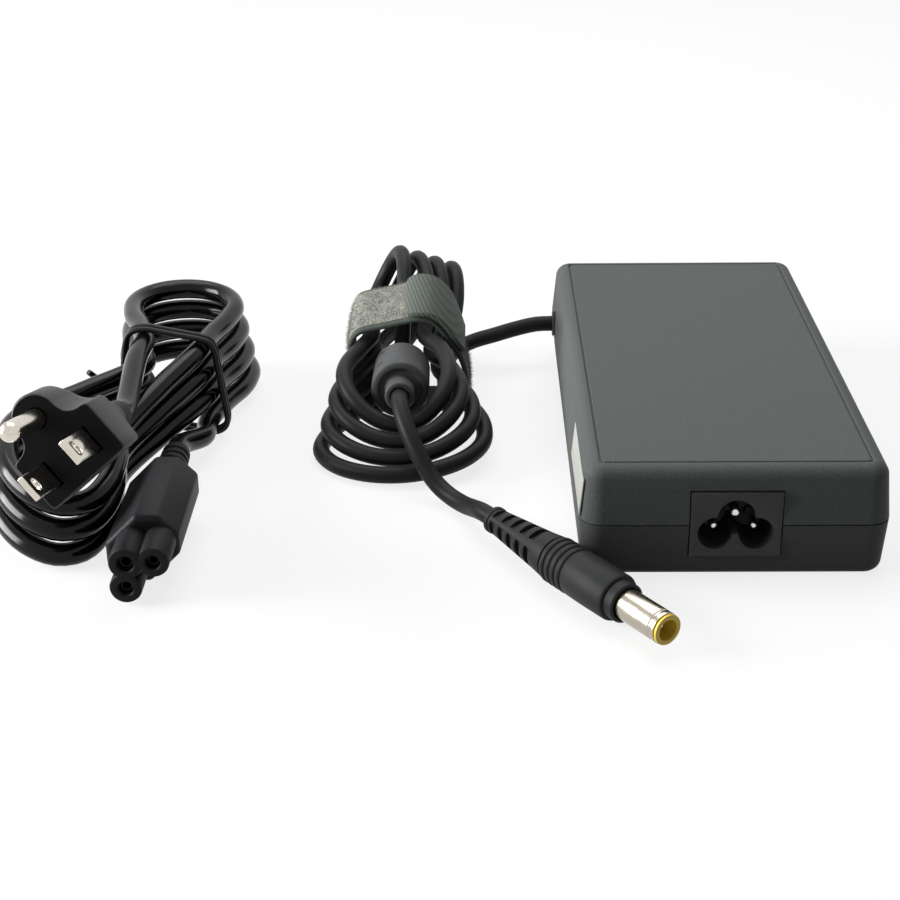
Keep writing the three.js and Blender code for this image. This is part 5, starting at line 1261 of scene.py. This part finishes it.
def rounded_section(low, high, half, radius):
    """Cross-section of a strap, as distance out and place across, with rounded corners."""
    points = []
    for quarter, (distance, across) in enumerate(((high, half), (low, half), (low, -half), (high, -half))):
        out = distance + math.copysign(radius, low + high - 2 * distance)
        side = across - math.copysign(radius, across)
        for k in range(4):
            angle = (quarter + k / 3) * math.pi / 2
            points.append((out + radius * math.cos(angle), side + radius * math.sin(angle)))
    return points


def strap_ring(point, out, section):
    """The strap's cross-section at one point of its outline, leaning where it is high."""
    ring = []
    for distance, across in section:
        x, z = (point[i] + out[i] * distance for i in (0, 1))
        lean = STRAP_LEAN * ease((z - STRAP_LEAN_FROM_Z) / (STRAP_LEAN_FULL_Z - STRAP_LEAN_FROM_Z))
        ring.append((x, STRAP_CENTRE_Y + across, z + (across - STRAP_LEAN_PIVOT) * lean))
    return ring


class ADAPTER_OT_strap(bpy.types.Operator):
    """Builds the hook-and-loop strap: the band with its pile, and the hook tab"""
    bl_idname = "adapter.strap"
    bl_label = "Strap"

    def execute(self, context):
        outline = smooth_line(STRAP_INNER, STRAP_STEP, closed=True)
        after, before = (np.roll(outline, shift, axis=0) for shift in (-1, 1))
        turn = math.copysign(1, (outline[:, 0] * after[:, 1] - after[:, 0] * outline[:, 1]).sum())
        along = (after - before) / np.linalg.norm(after - before, axis=1)[:, None]
        out = np.stack([along[:, 1], -along[:, 0]], axis=1) * turn

        def loop(name, *size):
            section = rounded_section(*size)
            return section, skin(name, [strap_ring(p, n, section) for p, n in zip(outline, out)], closed=True)

        half = STRAP_WIDTH / 2
        _, band = loop("strap_band", 0, STRAP_THICKNESS, half, 0.6)
        section, fibres = loop(
            "strap_fibres", STRAP_THICKNESS - 0.1, STRAP_THICKNESS + PILE_GROUND, half - PILE_MARGIN, 0.08)
        outer = [min(a[0], b[0]) > STRAP_THICKNESS for a, b in zip(section, section[1:] + section[:1])]
        pile = fibres.data.attributes.new("pile", "BOOLEAN", "FACE")
        pile.data.foreach_set("value", [bool(flag and z > PILE_FROM_Z) for _, z in outline for flag in outer])
        grow_fibres(fibres, "Loop pile", FIBRE_THICKNESS, FIBRE_TILT)
        place(soften(band, 0), ADAPTER, "Strap backing", "strap_loop", "strap_loop_band")
        place(fibres, ADAPTER, "Loop pile", "strap_loop")

        kept = [i for i, (x, z) in enumerate(outline) if x > STRAP_TAB_FREE_X and z > STRAP_TAB_SEWN_Z]
        low, corner = STRAP_THICKNESS + GAP, 4
        rings = []
        for k, gone in zip(kept, travelled(outline[kept])):
            inset = corner - math.sqrt(corner**2 - max(0, corner - gone) ** 2)
            section = rounded_section(low, low + STRAP_TAB_THICKNESS, half - inset, 0.5)
            rings.append(strap_ring(outline[k], out[k], section))
        tab = soften(skin("strap_tab_hooks", rings), 0.15, 2)
        place(tab, STRAP_TAB, "Hook tape", "strap_hook", "strap_hook_tab")
        return {"FINISHED"}


class ADAPTER_OT_bead(bpy.types.Operator):
    """Builds the cover of the ferrite bead"""
    bl_idname = "adapter.bead"
    bl_label = "Ferrite Bead"

    def execute(self, context):


        r = BEAD_DIAMETER / 2
        boss = BEAD_BOSS / 2
        bore = LEAD_DIAMETER / 2 + GAP
        end = BEAD_LENGTH + BEAD_BOSS_LENGTH
        pocket = r - BEAD_SKIN
        inside = BEAD_LENGTH - BEAD_END_SKIN
        dish = 0.7
        profile = [
            (bore, 0), (r - BEAD_RIM, 0), (r - 0.3, 0.4), (r, BEAD_RIM), (r, BEAD_LENGTH - BEAD_RIM),
            (r - 0.3, BEAD_LENGTH - 0.4), (r - BEAD_RIM, BEAD_LENGTH), (r - 2, BEAD_LENGTH),
            (r - 2.4, BEAD_LENGTH - dish), (boss + 0.5, BEAD_LENGTH - dish), (boss, BEAD_LENGTH - dish + 0.5),
            (boss, end - 0.6), (boss - 0.2, end - 0.2), (boss - 0.6, end), (bore, end), (bore, inside),
            (pocket, inside), (pocket, BEAD_END_SKIN), (bore, BEAD_END_SKIN),
        ]
        bead = turned("bead_cover", profile, BEAD_REAR, BEAD_DIRECTION, 64, closed=True)
        way = way_round(BEAD_DIRECTION, BEAD_SLOT_TURN)
        for distance in BEAD_SLOTS:
            slot = block("Slot", (-1.2, -1.2, -0.7), (0.5, 1.2, 0.7))
            spot = BEAD_REAR + BEAD_DIRECTION * distance + way * (r + 0.1)
            combine(bead, "DIFFERENCE", move(slot, spot, way, BEAD_DIRECTION))
        place(soften(bead, 0.12, 2), ADAPTER, "Bead plastic", "bead_plastic", "ferrite_shell")
        return {"FINISHED"}


def cut_slots(relief, start, bend):
    """Cuts a row of slots into the relief's cone at each turn round its axis."""
    last = PLUG_SLOT_FIRST + PLUG_SLOT_PITCH * (PLUG_SLOT_COUNT - 1)
    low, high = (
        PLUG_SLOT_SEAT + PLUG_SLOT_SHARE * (start + (bend - start) * s / PLUG_RELIEF_BEND)
        for s in (PLUG_SLOT_FIRST, last)
    )
    slope = math.atan2(high - low, PLUG_SLOT_PITCH * (PLUG_SLOT_COUNT - 1))
    growth = (high / low - 1) / (PLUG_SLOT_COUNT - 1)
    for turn in PLUG_SLOT_TURNS:
        way = way_round(PLUG_DIRECTION, turn)
        row = slot_row(
            "Slots", "Barrel plug plastic", PLUG_SLOT_COUNT, PLUG_SLOT_PITCH / math.cos(slope),
            PLUG_SLOT_SIZE, growth)
        spot = PLUG_START + PLUG_DIRECTION * PLUG_SLOT_FIRST + way * low
        combine(relief, "DIFFERENCE", move(row, spot, way, PLUG_DIRECTION, slope))


class ADAPTER_OT_barrel_plug(bpy.types.Operator):
    """Builds the barrel plug: slotted strain relief, body, barrel, insulator and centre pin"""
    bl_idname = "adapter.barrel_plug"
    bl_label = "Barrel Plug"

    def execute(self, context):
        def turn(name, profile, segments=64, closed=False):
            return turned(name, profile, PLUG_START, PLUG_DIRECTION, segments, closed)

        start, bend, end = PLUG_RELIEF / 2, PLUG_RELIEF_BEND_DIAMETER / 2, PLUG_RELIEF_END / 2
        relief = turn("barrel_strain_relief", [
            (0, GAP), (start, GAP), (start + 0.3, GAP + 0.3), (start + 0.3, GAP + 1.3), (start, GAP + 1.6),
            (bend, PLUG_RELIEF_BEND), (end, PLUG_RELIEF_LENGTH), (0, PLUG_RELIEF_LENGTH),
        ])
        cut_slots(relief, start, bend)
        place(soften(relief, 0.15, 2), ADAPTER, "Barrel plug plastic", "plug_plastic", "plug_strain_relief")

        s = PLUG_RELIEF_LENGTH + GAP
        ring, root = PLUG_RING / 2, PLUG_RING_ROOT / 2
        shape = (
            (0.1, root), (0.22, ring - 0.12), (0.4, ring), (0.65, ring), (0.82, ring - 0.12), (0.93, root))
        profile = [(0, s), (root, s)]
        for i in range(PLUG_RING_COUNT):
            profile += [(radius, s + (i + k) * PLUG_RING_PITCH) for k, radius in shape]


        body_start = s + PLUG_RING_COUNT * PLUG_RING_PITCH
        body_end = body_start + PLUG_BODY_LENGTH
        front = body_end + PLUG_COLLAR_LENGTH
        seat = front - PLUG_SEAT_DEPTH
        body, collar, barrel = PLUG_BODY / 2, PLUG_COLLAR / 2, PLUG_BARREL / 2
        profile += [
            (root, body_start), (body, body_start + 0.5), (body + 0.1, body_start + 5),
            (body, body_end - 0.9), (body - 0.3, body_end - 0.2), (body - 0.8, body_end),
            (collar, body_end), (collar, front - 0.4), (collar - 0.4, front),
            (barrel + GAP, front), (barrel + GAP, seat), (0, seat),
        ]
        piece = soften(turn("barrel_plug_body", profile), 0.1, 2)
        place(piece, ADAPTER, "Barrel plug plastic", "plug_plastic", "plug_body")

        rear = seat + GAP
        tip = front + PLUG_BARREL_LENGTH
        bore = barrel - PLUG_BARREL_WALL
        piece = turn("barrel", [
            (bore, rear), (barrel, rear), (barrel, tip - 2.1), (barrel - 0.25, tip - 1.9),
            (barrel - 0.25, tip - 1.4), (barrel, tip - 1.2), (barrel, tip), (bore, tip),
        ], closed=True)
        place(soften(piece, 0.1, 2), ADAPTER, "Barrel nickel", "barrel_nickel", "plug_barrel")
        back = tip + GAP
        end = back + PLUG_TIP_RING_LENGTH
        pin, ring, hole = PLUG_PIN / 2, PLUG_TIP_RING / 2, PLUG_BORE / 2
        piece = turn("barrel_insulator", [
            (pin + GAP, rear), (bore - GAP, rear), (bore - GAP, back), (ring, back), (ring, end), (hole, end),
            (hole, front), (pin + GAP, front),
        ], closed=True)
        place(soften(piece, 0.15), ADAPTER, "Yellow insulator", "insulator_yellow", "plug_insulator")
        point = end - PLUG_PIN_SETBACK
        piece = turn("barrel_centre_pin", [
            (0, rear), (pin, rear), (pin, point - pin), (pin * 0.75, point - pin * 0.3), (0, point)], 24)
        place(soften(piece, 0), ADAPTER, "Pin nickel", "pin_metal", "plug_centre_pin")
        return {"FINISHED"}


def lay_cord(name, line, diameter, body, finish, slot, nodes):
    """Lays a cord along its line, gives it its body, and hides the CAD nodes that it stands for."""
    lead = make_tube(name, line, diameter, sizes().lead_sides, finish)
    place(lead, body, None, slot, *nodes)


class ADAPTER_OT_lead(bpy.types.Operator):
    """Builds the low-voltage lead, from its grommet through its folds to the barrel plug"""
    bl_idname = "adapter.lead"
    bl_label = "Low-Voltage Lead"

    def execute(self, context):
        inner = -(CASE_WALL + TOP_DRAFT) - GAP
        back = inner - GROMMET_FLANGE_THICKNESS
        front = GROMMET_COLLAR_LENGTH
        flange, neck, collar = GROMMET_FLANGE / 2, GROMMET_NECK / 2, GROMMET_COLLAR / 2
        grommet = turned("lead_grommet", [
            (0, back), (flange, back), (flange, inner), (neck, inner), (neck, GAP), (collar, GAP),
            (collar, front - 0.4), (collar - 0.4, front), (0, front),
        ], LEAD_EXIT, LEFT)
        place(soften(grommet, 0.15, 2), ADAPTER, "Grommet rubber", "moulded_black", "output_grommet")
        route = lead_route()
        line = smooth_line(np.vstack([route[0] - LEFT, route]), LEAD_STEP)
        lay_cord(
            "low_voltage_lead", line, LEAD_DIAMETER, ADAPTER, "Lead jacket", "lead_jacket",
            ("dc_lead_near", "dc_lead_hank", "dc_lead_tail"))
        return {"FINISHED"}


# ---- mains lead and its ends ----

def connector_point(a, b, y):
    """A point of the rolled connector: a across its live holes, b toward its earth hole."""
    c, s = math.cos(CONNECTOR_ROLL), math.sin(CONNECTOR_ROLL)
    return np.array([CONNECTOR_X + a * c - b * s, y, CONNECTOR_Z + a * s + b * c])


def ribbed_relief(name, length, start, end, origin, direction):
    """Tapered strain relief with shallow rings cut round it."""
    pitch = 1 / (RELIEF_GROOVES + 1)
    profile = [(0, 0), (start / 2, 0)]
    for i in range(1, RELIEF_GROOVES + 1):
        radius = (start + (end - start) * i * pitch) / 2
        for step, depth in ((-0.2, 0), (-0.12, RELIEF_GROOVE_DEPTH), (0.12, RELIEF_GROOVE_DEPTH), (0.2, 0)):
            profile.append((radius - depth, (i + step) * pitch * length))
    profile += [(end / 2, length), (0, length)]
    return soften(turned(name, [(radius, GAP + along) for radius, along in profile], origin, direction), 0.2)


class ADAPTER_OT_connector(bpy.types.Operator):
    """Builds the three-hole appliance connector and its strain relief"""
    bl_idname = "adapter.connector"
    bl_label = "Appliance Connector"

    def execute(self, context):
        w, h, c = CONNECTOR_HALF_WIDTH, CONNECTOR_HALF_HEIGHT, CONNECTOR_CHAMFER
        corners = [
            (w, c - h), (w, h - c), (w - c, h), (c - w, h), (-w, h - c), (-w, c - h), (c - w, -h), (w - c, -h),
        ]
        nose = CONNECTOR_FACE_Y + CONNECTOR_NOSE
        body = skin("connector_moulding", [
            [connector_point(a - math.copysign(shrink, a), b - math.copysign(shrink, b), y) for a, b in corners]
            for y, shrink in ((nose - 0.5, 0.8), (nose + 0.3, 0), (CONNECTOR_BACK - 1, 0), (CONNECTOR_BACK, 1))
        ])
        soften(body, 0.7, 4, angle=25)
        tubes, holes = [], []
        for a, b, lobe, radius in CONNECTOR_HOLES:
            reach, centre = CONNECTOR_NOSE + 1, connector_point(a, b, CONNECTOR_FACE_Y)
            tube = [(0, 0), (lobe - 0.7, 0), (lobe - 0.2, 0.2), (lobe, 0.7), (lobe, reach), (0, reach)]
            hole = [(0, -1), (radius + 0.35, -1), (radius + 0.35, 0), (radius, 0.4),
                    (radius, CONNECTOR_HOLE_DEPTH), (0, CONNECTOR_HOLE_DEPTH)]
            tubes.append(turned("Tube", tube, centre, BACK, 56))
            holes.append(turned("Hole", hole, centre, BACK, 40))
        combine(body, "UNION", *tubes)
        combine(body, "DIFFERENCE", *holes)
        soften(body, 0, angle=30)
        place(body, MAINS_LEAD, "Connector plastic", "mains_plastic", "connector_body")
        # The contacts get a near-black metal: painted shade of the deep holes, not their own colour
        dress("Contact", "connector_contact_line", "connector_contact_neutral", "connector_contact_earth")
        relief = ribbed_relief(
            "connector_relief", CONNECTOR_RELIEF_LENGTH, CONNECTOR_RELIEF, CONNECTOR_RELIEF_END,
            (CONNECTOR_X, CONNECTOR_BACK, CONNECTOR_Z), BACK)
        place(relief, MAINS_LEAD, "Connector plastic", "mains_plastic", "connector_strain_relief")
        return {"FINISHED"}


def onto_plug(piece):
    """Moves a piece from the plug's own axes to its place."""
    return move(piece, MAINS_PLUG_FACE, PLUG_SIDEWAYS, MAINS_PLUG_OUT)


def plug_outline():
    """Face outline: a rectangle with a round lobe for the earth pin, joined by hollow necks."""
    w, bottom, shoulder = MAINS_PLUG_HALF_WIDTH, MAINS_PLUG_BOTTOM, MAINS_PLUG_SHOULDER
    neck, lobe = MAINS_PLUG_NECK, EARTH_LOBE
    right = [(w - 1, bottom), (w - 0.3, bottom + 0.3), (w, bottom + 1)]
    right += [(w, bottom + 1 + (shoulder - bottom - 2) * k / 6) for k in range(1, 7)]
    bow = [
        (w, shoulder - 1), (w - 0.3, shoulder - 0.25), (w - 1, shoulder + 0.05), (neck + 3, shoulder + 0.5),
        (neck + 1.1, shoulder + 1.9), (neck + 0.2, MAINS_PLUG_NECK_HEIGHT),
    ]
    for angle in (20, 45, 70, 90):
        turn = math.radians(angle)
        bow.append((lobe * math.cos(turn), EARTH_PIN_RISE + 0.4 + lobe * math.sin(turn)))
    right += [tuple(p) for p in smooth_line(bow, 0.6)[1:]]
    left = [(-p, q) for p, q in right[:-1][::-1]]
    foot = [(1 - w + 2 * (w - 1) * k / 12, bottom) for k in range(1, 12)]
    return right + left + foot


def plug_ring(outline, s, keep, radius):
    """The plug's section at s: its face outline, drawn toward a circle where keep is small."""
    ring = []
    for p, q in outline:
        angle = math.atan2(q - MAINS_PLUG_AXIS_RISE, p)
        round_p = radius * math.cos(angle)
        round_q = MAINS_PLUG_AXIS_RISE + radius * math.sin(angle)
        ring.append((round_p + (p - round_p) * keep, round_q + (q - round_q) * keep, s))
    return ring


class ADAPTER_OT_mains_plug(bpy.types.Operator):
    """Builds the mains plug with its pierced blades, earth pin and strain relief"""
    bl_idname = "adapter.mains_plug"
    bl_label = "Mains Plug"

    def execute(self, context):
        outline = plug_outline()
        grip, radius, depth = MAINS_PLUG_GRIP, MAINS_GRIP_RADIUS, MAINS_PLUG_DEPTH
        stations = ((0, 0, 0), (0.35, 0, 2), (0.62, 0.3, 2.6), (0.85, 0.72, 3), (1, 0.96, 3))
        curve = smooth_line([(k * grip, keep * 20, radius + more) for k, keep, more in stations], GRIP_STEP)
        body = skin("mains_plug_moulding", [
            *(plug_ring(outline, MAINS_GRIP_END + s, keep / 20, r) for s, keep, r in curve),
            *(plug_ring(outline, s, keep, 1)
              for s, keep in ((0.5 - depth, 0.99), (1 - depth, 1), (-0.6, 1), (-0.2, 0.988), (0, 0.965))),
        ])
        r = EARTH_PIN / 2
        root = GAP - PRONG_ROOT

        def bar(name, side, margin, start, end):
            p, hp, hq = side * BLADE_SPACING / 2, BLADE_THICKNESS / 2 + margin, BLADE_WIDTH / 2 + margin
            return block(name, (p - hp, -hq, start), (p + hp, hq, end))

        combine(
            body, "DIFFERENCE", rod("Socket", r + GAP, -PRONG_ROOT, 1, (0, EARTH_PIN_RISE, 0), UP, 40),
            *(bar("Socket", side, GAP, -PRONG_ROOT, 1) for side in (-1, 1)))
        for finish in ("Mains plug grain", "Mains plug face"):
            body.data.materials.append(coat(finish))
        for face in body.data.polygons:
            face.material_index = int(face.normal.z > 0.9 and face.center.z > -0.7 * MM)
        place(soften(onto_plug(body), 0, angle=30), MAINS_LEAD, None, "mains_plastic", "mains_plug_body")

        for side, name in ((-1, "line"), (1, "neutral")):
            blade = bar(f"blade_{name}", side, 0, root, BLADE_LENGTH)
            hole_at = (side * BLADE_SPACING / 2, 0, BLADE_LENGTH - BLADE_HOLE_FROM_TIP)
            combine(blade, "DIFFERENCE", rod("Hole", BLADE_HOLE / 2, -2, 2, hole_at, (1, 0, 0), 32))
            onto_plug(soften(blade, 0.3))
            place(blade, MAINS_LEAD, "Blade nickel", "blade_nickel", f"mains_blade_{name}")
        dome = EARTH_PIN_LENGTH - EARTH_PIN_DOME
        pin = turned("earth_pin", [
            (0, root), (r, root), (r, dome),
            *((r * math.cos(a), dome + EARTH_PIN_DOME * math.sin(a)) for a in np.linspace(0.2, 1.35, 7)),
            (0, EARTH_PIN_LENGTH),
        ], (0, EARTH_PIN_RISE, 0), UP, 40)
        place(onto_plug(soften(pin, 0)), MAINS_LEAD, "Blade nickel", "blade_nickel", "mains_earth_pin")
        relief = ribbed_relief(
            "mains_plug_relief", MAINS_RELIEF_LENGTH, MAINS_RELIEF, MAINS_RELIEF_END,
            MAINS_RELIEF_START, -MAINS_PLUG_OUT)
        place(relief, MAINS_LEAD, "Mains plug grain", "mains_plastic", "mains_plug_strain_relief")
        return {"FINISHED"}


class ADAPTER_OT_mains_lead(bpy.types.Operator):
    """Builds the mains lead through its folds, and the twist tie round its waist"""
    bl_idname = "adapter.mains_lead"
    bl_label = "Mains Lead"

    def execute(self, context):
        line = smooth_line(tie_route(), TIE_STEP)
        tie = make_tube("twist_tie_wire", line, TIE_DIAMETER, TIE_SIDES, "Tie sleeve")
        place(tie, MAINS_LEAD, None, "tie_black", "twist_tie")
        route = mains_route()
        lay_cord(
            "mains_cord", smooth_line(route, MAINS_STEP), MAINS_DIAMETER, MAINS_LEAD, "Mains jacket",
            "mains_jacket", ("mains_lead_near", "mains_lead_hank", "mains_lead_far"))
        return {"FINISHED"}


class ADAPTER_PT_panel(bpy.types.Panel):
    """Settings and steps of the laptop power adapter"""
    bl_idname = "ADAPTER_PT_panel"
    bl_label = "Laptop Power Adapter"
    bl_space_type = "VIEW_3D"
    bl_region_type = "UI"
    bl_category = "Adapter"

    def draw(self, context):
        for name, kind in SETTINGS.items():
            for label in kind.__annotations__:
                self.layout.prop(getattr(context.scene, name), label)
        for step in STEPS:
            self.layout.operator(step.bl_idname)


STEPS = (
    ADAPTER_OT_stage,
    ADAPTER_OT_case,
    ADAPTER_OT_inlet,
    ADAPTER_OT_circuit,
    ADAPTER_OT_strap,
    ADAPTER_OT_bead,
    ADAPTER_OT_barrel_plug,
    ADAPTER_OT_lead,
    ADAPTER_OT_connector,
    ADAPTER_OT_mains_plug,
    ADAPTER_OT_mains_lead,
)
SETTINGS = {
    "adapter_colours": AdapterColours,
    "adapter_sizes": AdapterSizes,
    "adapter_studio": AdapterStudio,
}
CLASSES = (*SETTINGS.values(), *STEPS, ADAPTER_PT_panel)


def register():
    """Registers the classes and hangs the settings on the scene."""
    for kind in CLASSES:
        bpy.utils.register_class(kind)
    for name, kind in SETTINGS.items():
        setattr(bpy.types.Scene, name, PointerProperty(type=kind))


def unregister():
    """Takes the settings and classes away again."""
    for name in SETTINGS:
        delattr(bpy.types.Scene, name)
    for kind in reversed(CLASSES):
        bpy.utils.unregister_class(kind)


def main():
    """Builds the adapter."""
    register()
    for step in STEPS:
        getattr(bpy.ops.adapter, step.bl_idname.split(".")[1])()


if __name__ == "__main__":
    main()
